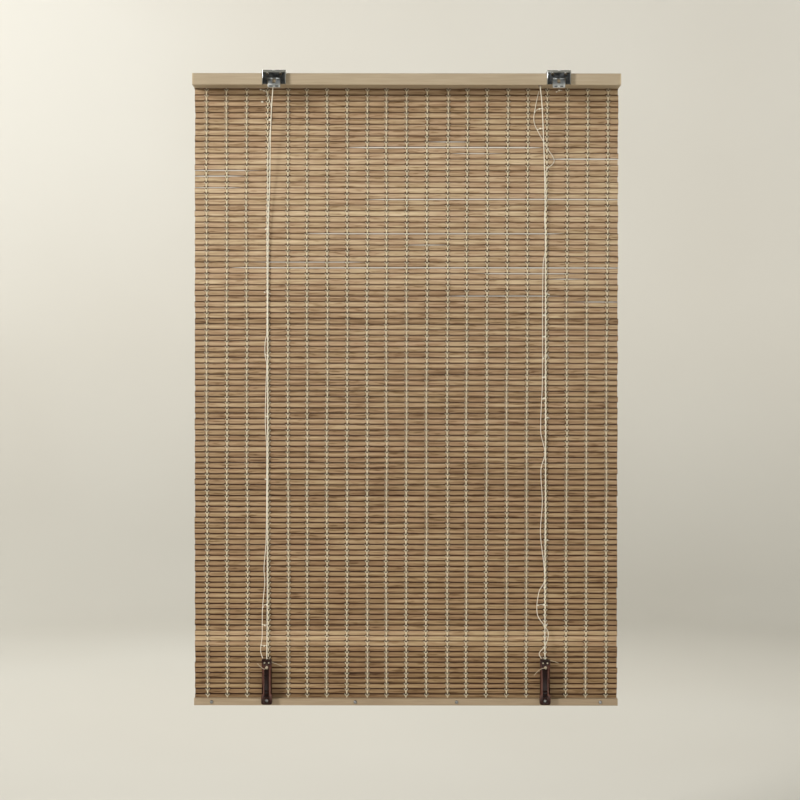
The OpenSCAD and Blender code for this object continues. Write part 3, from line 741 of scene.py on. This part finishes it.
def model_screw():
    """A pan head with a cross recess, its face towards the camera side, seated on y = 0."""
    bpy.ops.object.select_all(action="DESELECT")
    bpy.ops.mesh.primitive_cylinder_add(vertices=SCREW_SIDES, radius=SCREW_HEAD_R, depth=SCREW_HEAD_H,
                                        location=(0, -SCREW_HEAD_H / 2, 0), rotation=(math.pi / 2, 0, 0))
    screw = settle(bpy.context.object, "screw")
    edit(screw)
    face = -SCREW_HEAD_H + HAIR
    select_edges(screw, lambda a, b: a.y < face and b.y < face)
    bpy.ops.mesh.bevel(offset=SCREW_ROUND, segments=5, affect="EDGES")
    done()
    for turn in (RECESS_TURN, RECESS_TURN + math.pi / 2):
        bpy.ops.object.select_all(action="DESELECT")
        bpy.ops.mesh.primitive_cube_add(size=1, location=(0, -SCREW_HEAD_H, 0), rotation=(0, turn, 0),
                                        scale=RECESS_BAR)
        bar = settle(bpy.context.object, "recess_bar")
        apply_modifier(screw, "BOOLEAN", operation="DIFFERENCE", object=bar)
        bpy.data.objects.remove(bar)
    return smooth(screw, SHARP_ANGLE)


def seat_screws(screw, name, places):
    """Copies of the screw at their seats, as one piece."""
    return joined([moved(twin(screw, f"{name}_{i}"), place) for i, place in enumerate(places)], name)


# Finishes
WHITE = (255, 255, 255)


def tint(red, green, blue):
    """A display colour from 0 to 255 as the shader's linear colour."""
    def linear(c):
        c = c / 255
        return c / 12.92 if c <= 0.04045 else ((c + 0.055) / 1.055) ** 2.4
    return linear(red), linear(green), linear(blue), 1.0


def put(tree, kind, values=None, **settings):
    """Adds a node with its settings and input values."""
    node = tree.nodes.new(kind)
    for key, value in settings.items():
        setattr(node, key, value)
    for key, value in (values or {}).items():
        node.inputs[key].default_value = value
    return node


def math_node(tree, operation, first, second=None, clamp=False):
    """A Math node on sockets or numbers; gives its output socket."""
    node = put(tree, "ShaderNodeMath", operation=operation, use_clamp=clamp)
    for i, value in enumerate((first, second)):
        if value is None:
            continue
        if isinstance(value, (int, float)):
            node.inputs[i].default_value = value
        else:
            tree.links.new(value, node.inputs[i])
    return node.outputs[0]


def color_ramp(tree, factor, stops):
    """A colour ramp over display colours at their places."""
    node = put(tree, "ShaderNodeValToRGB")
    marks = node.color_ramp.elements
    while len(marks) < len(stops):
        marks.new(0.5)
    for mark, (place, color) in zip(marks, stops):
        mark.position = place
        mark.color = tint(*color)
    tree.links.new(factor, node.inputs["Fac"])
    return node.outputs["Color"]


def mixed(tree, blend, factor, first, second):
    """Mixes two colours; gives the output socket."""
    node = put(tree, "ShaderNodeMix", data_type="RGBA", blend_type=blend)
    for socket, value in ((node.inputs[0], factor), (node.inputs[6], first), (node.inputs[7], second)):
        if isinstance(value, bpy.types.NodeSocket):
            tree.links.new(value, socket)
        else:
            socket.default_value = value
    return node.outputs[2]


def weighted(tree, *terms):
    """The sum of some sockets, each times its share."""
    total = None
    for socket, share in terms:
        part = math_node(tree, "MULTIPLY", socket, share)
        total = part if total is None else math_node(tree, "ADD", total, part)
    return total


def attribute(tree, name):
    """The socket of a number that the mesh holds."""
    return put(tree, "ShaderNodeAttribute", attribute_name=name).outputs["Fac"]


def new_group(name, vector, numbers, outputs):
    """An empty shader group that takes one vector and some numbers and gives numbers."""
    group = bpy.data.node_groups.new(name, "ShaderNodeTree")
    group.interface.new_socket(vector, in_out="INPUT", socket_type="NodeSocketVector")
    for way, labels in (("INPUT", numbers), ("OUTPUT", outputs)):
        for label in labels:
            group.interface.new_socket(label, in_out=way, socket_type="NodeSocketFloat")
    return group, put(group, "NodeGroupInput"), put(group, "NodeGroupOutput")


def stretched(tree, vector, scale):
    """A vector scaled along each axis."""
    node = put(tree, "ShaderNodeMapping", {"Scale": scale})
    tree.links.new(vector, node.inputs["Vector"])
    return node.outputs["Vector"]


def grain_noise(tree, vector, scale, detail, rough, seed):
    """Noise over a vector that is scaled along each axis, in its own slice for each seed."""
    node = put(tree, "ShaderNodeTexNoise", {"Scale": 1.0, "Detail": detail, "Roughness": rough},
               noise_dimensions="4D")
    tree.links.new(stretched(tree, vector, scale), node.inputs["Vector"])
    tree.links.new(seed, node.inputs["W"])
    return node.outputs["Fac"]


# Grain of cane: scale along each axis, detail and roughness of each kind of mark
GRAIN = {
    "Fibre": ((20, 300, 480), 3.0, 0.6), "Patch": ((13, 40, 60), 2.0, 0.5),
    "Streak": ((48, 300, 380), 2.0, 0.5)}
GRAIN_SLICE = 40.0
RAIL_SEED = 0.37
# Strands in a plied thread
PLIES = 3.0
# Clouds and specks per metre in each kind of surface, and the strength and depth of its bumps
COTTON_MOTTLE = (90.0, 900.0)
METAL_MOTTLE = (160.0, 2200.0)
PLASTIC_MOTTLE = (120.0, 1600.0)
TAPE_MOTTLE = (300.0, 1400.0)
METAL_BUMP = (0.05, 0.05 * MM)
PLASTIC_BUMP = (0.12, 0.06 * MM)
# Painted highlights on the bends of the zinc plates: their heights, how far a face turns sideways, and
# shares of the highlight colour
BEND_RANGE = (-4.2 * MM, -2.4 * MM)
BEND_HIGHLIGHT_SHARE = 0.85
SIDE_RANGE = (0.3, 0.8)
SIDE_HIGHLIGHT_SHARE = 0.9
BEND_HIGHLIGHT_COLOR = (214, 217, 217)
# Bamboo: shares of tone, fibres and patches in its colour, and what is taken off their sum
TONE_SHARE = 0.2
FIBRE_SHARE = 0.8
PATCH_SHARE = 0.36
COLOR_DROP = 0.17
# Streaks between these strengths darken it more and more
STREAK_RANGE = (0.54, 0.72)
STREAK_DROP = 0.2
BAMBOO_COLORS = (
    (0.12, (86, 62, 40)), (0.36, (142, 118, 90)), (0.52, (172, 148, 120)), (0.72, (199, 178, 151)),
    (0.95, (229, 211, 186)))
# Painted shade: it is darker towards the hem, between these heights in metres, where less light falls
HEM_SHADE_RANGE = (-0.95, -0.2)
HEM_SHADE_COLOR = (218, 209, 195)
# Painted shade in the grooves between slats: how far it reaches in, what nearness to a warp thread adds, and
# the heights where it weakens to the top's share
RIM_SHADE_REACH = (0.15, 0.36)
RIM_WARP_SHADE = 0.3
RIM_SHADE_RANGE = (-0.7, -0.1)
RIM_SHADE_TOP = 0.72
RIM_SHADE_COLOR = (100, 62, 30)


def build_grain_group():
    """Fibres that run along X, broad patches, and short streaks."""
    group, given, out = new_group("cane_grain", "Vector", ["Seed"], GRAIN)
    slice_seed = math_node(group, "MULTIPLY", given.outputs["Seed"], GRAIN_SLICE)
    for label, (scale, detail, rough) in GRAIN.items():
        value = grain_noise(group, given.outputs["Vector"], scale, detail, rough, slice_seed)
        group.links.new(value, out.inputs[label])
    return group


def build_mottle_group():
    """Soft clouds and fine specks for moulded, plated and painted faces."""
    group, given, out = new_group("mottle", "Vector", ["Cloud Scale", "Speck Scale"], ["Cloud", "Speck"])
    for label, detail in (("Cloud", 4.0), ("Speck", 2.0)):
        node = put(group, "ShaderNodeTexNoise", {"Detail": detail, "Roughness": 0.6})
        group.links.new(given.outputs["Vector"], node.inputs["Vector"])
        group.links.new(given.outputs[f"{label} Scale"], node.inputs["Scale"])
        group.links.new(node.outputs["Fac"], out.inputs[label])
    return group


def build_twist_group():
    """The ridges of plied thread, from the turn round it and the length along it."""
    group, given, out = new_group("thread_twist", "UV", ["Turns"], ["Ridge"])
    split = put(group, "ShaderNodeSeparateXYZ")
    group.links.new(given.outputs["UV"], split.inputs[0])
    wound = math_node(group, "MULTIPLY", split.outputs["Y"], given.outputs["Turns"])
    plies = math_node(group, "ADD", math_node(group, "MULTIPLY", split.outputs["X"], PLIES), wound)
    wave = math_node(group, "SINE", math_node(group, "MULTIPLY", plies, 2 * math.pi))
    ridge = math_node(group, "ADD", math_node(group, "MULTIPLY", wave, 0.5), 0.5)
    group.links.new(ridge, out.inputs["Ridge"])
    return group


def new_finish(name, **sockets):
    """A material with one principled shader; the sockets given here are the same all over."""
    material = bpy.data.materials.new(name)
    material.use_nodes = True
    tree = material.node_tree
    shader = tree.nodes["Principled BSDF"]
    for key, value in sockets.items():
        shader.inputs[key.replace("_", " ").title().replace("Ior", "IOR")].default_value = value
    place = put(tree, "ShaderNodeTexCoord")
    return material, tree, shader, place


def use_group(tree, group, vector_socket, vector, **values):
    """A group fed with a vector; the values are set on its other sockets."""
    node = put(tree, "ShaderNodeGroup", node_tree=group)
    tree.links.new(vector, node.inputs[vector_socket])
    for key, value in values.items():
        node.inputs[key.replace("_", " ").title()].default_value = value
    return node


def mottled(tree, mottle, place, scales):
    """The mottle group over a piece's own coordinates, with its cloud and speck scales."""
    return use_group(tree, mottle, "Vector", place.outputs["Object"],
                     cloud_scale=scales[0], speck_scale=scales[1])


def cover(tree, shader, color, bump, rough=None):
    """Joins colour, bump (height, strength, distance) and roughness (value, low, high) to the shader."""
    tree.links.new(color, shader.inputs["Base Color"])
    height, strength, distance = bump
    node = put(tree, "ShaderNodeBump", {"Strength": strength, "Distance": distance})
    tree.links.new(height, node.inputs["Height"])
    tree.links.new(node.outputs["Normal"], shader.inputs["Normal"])
    if rough:
        tree.links.new(spread(tree, *rough), shader.inputs["Roughness"])


def ranged(tree, value, from_low, from_high, to_low, to_high):
    """Maps one range of a value softly onto another."""
    node = put(tree, "ShaderNodeMapRange", {"From Min": from_low, "From Max": from_high, "To Min": to_low,
                                            "To Max": to_high}, interpolation_type="SMOOTHSTEP")
    tree.links.new(value, node.inputs["Value"])
    return node.outputs["Result"]


def height_of(tree, place):
    """The height of a point in its piece's coordinates."""
    split = put(tree, "ShaderNodeSeparateXYZ")
    tree.links.new(place.outputs["Object"], split.inputs[0])
    return split.outputs["Z"]


def spread(tree, value, low, high):
    """Maps a value from 0 to 1 onto low to high."""
    node = put(tree, "ShaderNodeMapRange", {"To Min": low, "To Max": high})
    tree.links.new(value, node.inputs["Value"])
    return node.outputs["Result"]


def bamboo_finish(grain):
    """Stained split bamboo: fibres, patches and short dark streaks, with painted shade at its edges and
    beside the warp threads, and painted shade towards the hem.
    """
    material, tree, shader, place = new_finish("stained_bamboo", specular_ior_level=0.2)
    node = use_group(tree, grain, "Vector", place.outputs["Object"])
    tree.links.new(attribute(tree, "seed"), node.inputs["Seed"])
    fibre = node.outputs["Fibre"]
    value = weighted(tree, (fibre, FIBRE_SHARE), (node.outputs["Patch"], PATCH_SHARE),
                     (attribute(tree, "tone"), TONE_SHARE))
    streak = ranged(tree, node.outputs["Streak"], *STREAK_RANGE, 0.0, STREAK_DROP)
    value = math_node(tree, "SUBTRACT", math_node(tree, "SUBTRACT", value, streak), COLOR_DROP, clamp=True)
    color = color_ramp(tree, value, BAMBOO_COLORS)
    hue = color_ramp(tree, node.outputs["Patch"], [(0.4, (255, 250, 247)), (0.6, (252, 251, 243))])
    color = mixed(tree, "MULTIPLY", 1.0, color, hue)
    height = height_of(tree, place)
    # Painted shade, darker towards the hem
    hem_shade = color_ramp(tree, ranged(tree, height, *HEM_SHADE_RANGE, 0.0, 1.0), [(0.0, HEM_SHADE_COLOR), (1.0, WHITE)])
    color = mixed(tree, "MULTIPLY", 1.0, color, hem_shade)
    # Painted shade in the grooves between slats, wider beside the warp threads and weaker near the top
    inset = math_node(tree, "SUBTRACT", 1.0, math_node(tree, "ABSOLUTE", attribute(tree, "across")))
    warp_shade = attribute(tree, "warp_shade")
    inset = math_node(tree, "SUBTRACT", inset, math_node(tree, "MULTIPLY", warp_shade, RIM_WARP_SHADE))
    rim_shade = ranged(tree, inset, *RIM_SHADE_REACH, 1.0, 0.0)
    depth = math_node(tree, "MAXIMUM", ranged(tree, height, *RIM_SHADE_RANGE, 1.0, RIM_SHADE_TOP), warp_shade)
    color = mixed(tree, "MULTIPLY", math_node(tree, "MULTIPLY", rim_shade, depth), color, tint(*RIM_SHADE_COLOR))
    cover(tree, shader, color, (fibre, 0.5, 0.25 * MM), (fibre, 0.5, 0.72))
    return material


def rail_finish(name, grain, colors, roughness):
    """Painted or wrapped rails with a faint grain along them."""
    material, tree, shader, place = new_finish(name, specular_ior_level=0.4)
    node = use_group(tree, grain, "Vector", place.outputs["Object"], seed=RAIL_SEED)
    fibre = node.outputs["Fibre"]
    patch = node.outputs["Patch"]
    value = weighted(tree, (fibre, 0.6), (patch, 0.4))
    color = color_ramp(tree, value, [(0.3, colors[0]), (0.5, colors[1]), (0.7, colors[2])])
    cover(tree, shader, color, (fibre, 0.12, 0.1 * MM), (patch, roughness - 0.06, roughness + 0.08))
    return material


def cotton_finish(name, twist, mottle, colors, turns):
    """Plied cotton thread, with painted shade in the furrows between its plies."""
    material, tree, shader, place = new_finish(
        name, roughness=0.92, sheen_weight=0.25, specular_ior_level=0.2)
    ply = use_group(tree, twist, "UV", place.outputs["UV"], turns=turns)
    cloud = mottled(tree, mottle, place, COTTON_MOTTLE)
    # The furrows between plies are darker: painted shade
    value = weighted(tree, (ply.outputs["Ridge"], 0.6), (cloud.outputs["Cloud"], 0.4))
    color = color_ramp(tree, value, [(0.1, colors[0]), (0.55, colors[1]), (0.9, colors[2])])
    cover(tree, shader, color, (ply.outputs["Ridge"], 0.6, 0.15 * MM))
    return material


def metal_finish(name, mottle, colors, rough_low, rough_high):
    """Plated or bare steel with a clouded shine."""
    material, tree, shader, place = new_finish(name, metallic=1.0)
    node = mottled(tree, mottle, place, METAL_MOTTLE)
    color = color_ramp(tree, node.outputs["Cloud"], [(0.3, colors[0]), (0.7, colors[1])])
    cloud = node.outputs["Cloud"]
    cover(tree, shader, color, (node.outputs["Speck"], *METAL_BUMP), (cloud, rough_low, rough_high))
    return material


def zinc_finish(mottle):
    """Bright zinc plate that mirrors a dim room, with painted highlights on the bends along its top and
    sides.
    """
    material, tree, shader, place = new_finish("zinc_plate", metallic=1.0)
    node = mottled(tree, mottle, place, METAL_MOTTLE)
    color = color_ramp(tree, node.outputs["Cloud"], [(0.3, (40, 42, 46)), (0.7, (98, 102, 106))])
    # Painted highlight on the bends along the top and on the faces that turn sideways
    bend = ranged(tree, height_of(tree, place), *BEND_RANGE, 0.0, BEND_HIGHLIGHT_SHARE)
    facing = put(tree, "ShaderNodeSeparateXYZ")
    tree.links.new(put(tree, "ShaderNodeNewGeometry").outputs["Normal"], facing.inputs[0])
    side = ranged(tree, math_node(tree, "ABSOLUTE", facing.outputs["X"]), *SIDE_RANGE, 0.0, SIDE_HIGHLIGHT_SHARE)
    color = mixed(tree, "MIX", math_node(tree, "MAXIMUM", bend, side), color, tint(*BEND_HIGHLIGHT_COLOR))
    cover(tree, shader, color, (node.outputs["Speck"], *METAL_BUMP), (node.outputs["Cloud"], 0.1, 0.24))
    return material


def plastic_finish(name, mottle, colors, roughness):
    """Moulded plastic: faint flow clouds and a fine pitted skin."""
    material, tree, shader, place = new_finish(name)
    node = mottled(tree, mottle, place, PLASTIC_MOTTLE)
    color = color_ramp(tree, node.outputs["Cloud"], [(0.3, colors[0]), (0.7, colors[1])])
    speck = node.outputs["Speck"]
    cover(tree, shader, color, (speck, *PLASTIC_BUMP), (speck, roughness - 0.06, roughness + 0.06))
    return material


def lock_finish(mottle):
    """Dark brown moulding, with a paler, redder painted highlight along the crests of its ridges."""
    material, tree, shader, place = new_finish("lock_plastic", specular_ior_level=0.12)
    node = mottled(tree, mottle, place, PLASTIC_MOTTLE)
    body = color_ramp(tree, node.outputs["Cloud"], [(0.3, (27, 11, 6)), (0.7, (44, 20, 13))])
    crest_highlight = color_ramp(tree, node.outputs["Cloud"], [(0.3, (76, 46, 38)), (0.7, (102, 68, 58))])
    # Painted highlight along the crests of the ridges
    color = mixed(tree, "MIX", attribute(tree, "crest_highlight"), body, crest_highlight)
    speck = node.outputs["Speck"]
    cover(tree, shader, color, (speck, *PLASTIC_BUMP), (speck, 0.2, 0.32))
    return material


def tape_finish(mottle):
    """Woven hook tape: rows of small hooks on a dark band."""
    material, tree, shader, place = new_finish("hook_tape", roughness=0.95, sheen_weight=0.3)
    speck = mottled(tree, mottle, place, TAPE_MOTTLE).outputs["Speck"]
    color = color_ramp(tree, speck, [(0.3, (22, 21, 20)), (0.7, (64, 61, 58))])
    cover(tree, shader, color, (speck, 0.8, 0.3 * MM))
    return material


def make_finishes():
    """All finishes by a short name."""
    grain = build_grain_group()
    mottle = build_mottle_group()
    twist = build_twist_group()
    return {
        "bamboo": bamboo_finish(grain),
        "head": rail_finish("headrail_wrap", grain,
                            ((161, 145, 121), (172, 156, 132), (182, 167, 143)), 0.5),
        "rail": rail_finish("bottom_rail_paint", grain,
                            ((144, 125, 100), (156, 137, 111), (168, 150, 125)), 0.55),
        "warp": cotton_finish("warp_cotton", twist, mottle,
                              ((217, 202, 166), (245, 234, 204), (252, 245, 224)), 420.0),
        "cord": cotton_finish("cord_cotton", twist, mottle,
                              ((214, 204, 180), (244, 238, 222), (252, 249, 240)), 300.0),
        # Darker cotton for the threads, knots and cord ends at the locks
        "worn": cotton_finish("worn_cotton", twist, mottle,
                              ((160, 144, 118), (206, 192, 166), (226, 214, 190)), 300.0),
        "zinc": zinc_finish(mottle),
        "steel": metal_finish("screw_steel", mottle, ((104, 104, 103), (142, 142, 140)), 0.24, 0.38),
        "spring": metal_finish("spring_steel", mottle, ((178, 182, 184), (216, 220, 222)), 0.28, 0.42),
        "lock": lock_finish(mottle),
        "pale": plastic_finish("pale_plastic", mottle, ((214, 210, 200), (228, 225, 216)), 0.45),
        "grey": plastic_finish("grey_plastic", mottle, ((122, 112, 102), (146, 136, 126)), 0.4),
        "cap": plastic_finish("cap_plastic", mottle, ((184, 167, 139), (196, 180, 152)), 0.45),
        "dark": plastic_finish("dark_plastic", mottle, ((58, 58, 60), (76, 76, 79)), 0.5),
        "tape": tape_finish(mottle),
    }


def dress(obj, material):
    """Gives a piece one finish all over."""
    obj.data.materials.clear()
    obj.data.materials.append(material)


# Stage: a pale round studio and soft lights
STAGE_R = 4.4
STAGE_FLOOR = -1.25
STAGE_BEND = 0.9
STAGE_WALL = 3.4
STAGE_SIDES = 96
STAGE_STEPS = 12
STAGE_SHADE = 1.2
WORLD_COLOR = (0.95, 0.95, 0.93, 1)
WORLD_STRENGTH = 0.25


def make_studio():
    """A floor that bends up into a round wall, seen from inside."""
    bpy.ops.object.select_all(action="DESELECT")
    radius = STAGE_R - STAGE_BEND
    bpy.ops.mesh.primitive_circle_add(vertices=STAGE_SIDES, radius=radius, fill_type="NGON",
                                      location=(0, 0, STAGE_FLOOR))
    floor = settle(bpy.context.object, "studio_floor")
    bpy.ops.object.mode_set(mode="EDIT")
    bpy.ops.mesh.select_mode(type="EDGE")
    bpy.ops.mesh.select_all(action="SELECT")
    height = 0.0
    for i in range(1, STAGE_STEPS + 2):
        angle = math.pi / 2 * min(i, STAGE_STEPS) / STAGE_STEPS
        wider = STAGE_R - STAGE_BEND + STAGE_BEND * math.sin(angle)
        higher = STAGE_BEND * (1 - math.cos(angle)) + (STAGE_WALL if i > STAGE_STEPS else 0)
        bpy.ops.mesh.extrude_edges_move(TRANSFORM_OT_translate={"value": (0, 0, higher - height)})
        bpy.ops.transform.resize(value=(wider / radius, wider / radius, 1), center_override=(0, 0, 0))
        radius = wider
        height = higher
    done()
    smooth(floor, ROUND_ANGLE)
    material, tree, shader, place = new_finish("studio_paper", roughness=0.95)
    node = put(tree, "ShaderNodeTexNoise", {"Scale": 0.7, "Detail": 2.0})
    tree.links.new(place.outputs["Object"], node.inputs["Vector"])
    color = color_ramp(tree, node.outputs["Fac"], [(0.35, (226, 223, 215)), (0.65, (231, 229, 222))])
    rise = ranged(tree, height_of(tree, place), STAGE_FLOOR, STAGE_FLOOR + STAGE_SHADE, 0.0, 1.0)
    shade = color_ramp(tree, rise, [(0.0, (226, 226, 224)), (1.0, WHITE)])
    color = mixed(tree, "MULTIPLY", 1.0, color, shade)
    tree.links.new(color, shader.inputs["Base Color"])
    dress(floor, material)


def soft_light(name, place, size, power, color, target=MAT_MIDDLE):
    """A rectangular lamp that faces its target."""
    data = bpy.data.lights.new(name, "AREA")
    data.shape = "RECTANGLE"
    data.size, data.size_y = size
    data.energy = power
    data.color = color
    lamp = bpy.data.objects.new(name, data)
    lamp.location = place
    lamp.rotation_euler = (target - Vector(place)).to_track_quat("-Z", "Y").to_euler()
    bpy.context.scene.collection.objects.link(lamp)


def light_studio():
    """Key, fill, room, bounce and wall lamps, and a dim even world."""
    soft_light("key_light", (-2.3, -1.75, 0.8), (0.6, 0.8), 76, (1.0, 0.985, 0.955))
    soft_light("fill_light", (1.6, -2.6, 0.4), (1.6, 1.6), 6, (1.0, 0.98, 0.95))
    soft_light("room_light", (0.4, 2.4, 1.1), (1.6, 1.2), 24, (1.0, 0.98, 0.95))
    soft_light("bounce_light", (0.2, -1.9, -0.98), (1.5, 0.4), 9, (1.0, 0.97, 0.93), Vector((0, 0, 0)))
    soft_light("wall_light", (-1.9, 1.4, 1.8), (2.0, 1.0), 72, (1.0, 0.99, 0.97), Vector((-0.3, 4.3, -0.3)))
    world = bpy.data.worlds.new("studio_world")
    world.use_nodes = True
    background = world.node_tree.nodes["Background"]
    background.inputs["Color"].default_value = WORLD_COLOR
    background.inputs["Strength"].default_value = WORLD_STRENGTH
    bpy.context.scene.world = world
    bpy.context.scene.view_settings.view_transform = "Standard"


# Assembly: the solids that keep their shape, by finish
CAD_FINISHES = {
    "head": ["headrail"],
    "cap": ["end_cap_left", "end_cap_right"],
    "grey": ["eyelet_left", "eyelet_right"],
    "pale": ["cradle_left", "cradle_right", "pulley_left", "pulley_right", "spool_left", "spool_right",
             "output_drum", "storage_drum", "idler_gear"],
    "dark": ["motor_base", "motor_top"],
    "spring": ["spring_band"],
    "steel": ["pulley_pin_left", "pulley_pin_right"],
    "tape": ["hook_tape"],
    "rail": ["bottom_rail", "front_batten"],
}


def finish_piece(piece, body, slot, material, *replaced):
    """Dresses a new piece, sets the body that it moves with and hides the nodes that it stands for."""
    dress(piece, material)
    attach(piece, body)
    if replaced:
        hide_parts(*replaced)


def assemble_cords(finishes):
    """Cords ride on the headrail; their ends, threads and stubs at the locks ride on the rail."""
    for side in SIDES:
        made = make_cords(side)
        cotton = finishes["cord"]
        finish_piece(made["inner"], "head", "cotton", cotton, f"lift_cord_{side}")
        finish_piece(made["lift"], "head", "cotton", cotton, f"lift_cord_{side}")
        finish_piece(made["end"], "rail", "cotton", cotton, f"lift_cord_{side}")
        finish_piece(made["ladder"], "head", "cotton", cotton, f"ladder_cord_{side}")
        finish_piece(made["rungs"], "head", "cotton", cotton)
        finish_piece(made["tails"], "rail", "cotton", finishes["worn"])
        finish_piece(made["stubs"], "rail", "cotton", finishes["worn"])
        for part in ("lift", "ladder", "rungs"):
            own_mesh(made[part])


def assemble_mat(finishes):
    """The top of the mat and its panels ride on the headrail, and its hem rises with the rail."""
    for slats, warps, panel in make_mat():
        body = "rail" if slats.name == "mat_hem" else "head"
        finish_piece(slats, body, "bamboo", finishes["bamboo"], "slat_mat")
        finish_piece(warps, body, "cotton", finishes["warp"], "warps_back", "warps_front")
        if panel is not None:
            fold_away(slats)
            fold_away(warps)


def assemble_hardware(finishes):
    """Finishes for the solids, and new screws, brackets, clips and locks."""
    for name, members in CAD_FINISHES.items():
        for node in members:
            dress(nodes[node], finishes[name])
    screw = model_screw()
    screw_z = (rail_low.z + rail_high.z) / 2
    places = [(x * MM, rail_low.y, screw_z) for x in RAIL_SCREW_X]
    heads = seat_screws(screw, "rail_screw_heads", places)
    finish_piece(heads, "rail", "zinc", finishes["steel"], "rail_screws")
    for side in SIDES:
        plate = softened(f"bracket_{side}", f"bracket_plate_{side}", PLATE_EDGE)
        # The dark lip joined to the plate gives the clip's slots painted shade
        plate = joined([plate, slot_shade_backing(side)], f"bracket_plate_{side}")
        finish_piece(plate, "head", "zinc", finishes["zinc"], f"bracket_{side}")
        clip = softened(f"bracket_clip_{side}", f"bracket_spring_{side}", SPRING_EDGE)
        finish_piece(clip, "head", "spring_steel", finishes["spring"], f"bracket_clip_{side}")
        lock = softened(f"cord_lock_{side}", f"lock_body_{side}", LOCK_EDGE, 3)
        mark_crest_highlights(lock)
        finish_piece(lock, "rail", "lock_plastic", finishes["lock"], f"cord_lock_{side}")
        low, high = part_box(f"lock_screw_{side}")
        seat = ((low.x + high.x) / 2, low.y + SCREW_HEAD_H, (low.z + high.z) / 2)
        head = seat_screws(screw, f"lock_screw_head_{side}", [seat])
        finish_piece(head, "rail", "zinc", finishes["steel"], f"lock_screw_{side}")
    bpy.data.objects.remove(screw)


place_camera()
finishes = make_finishes()
assemble_cords(finishes)
assemble_mat(finishes)
assemble_hardware(finishes)
make_studio()
light_studio()
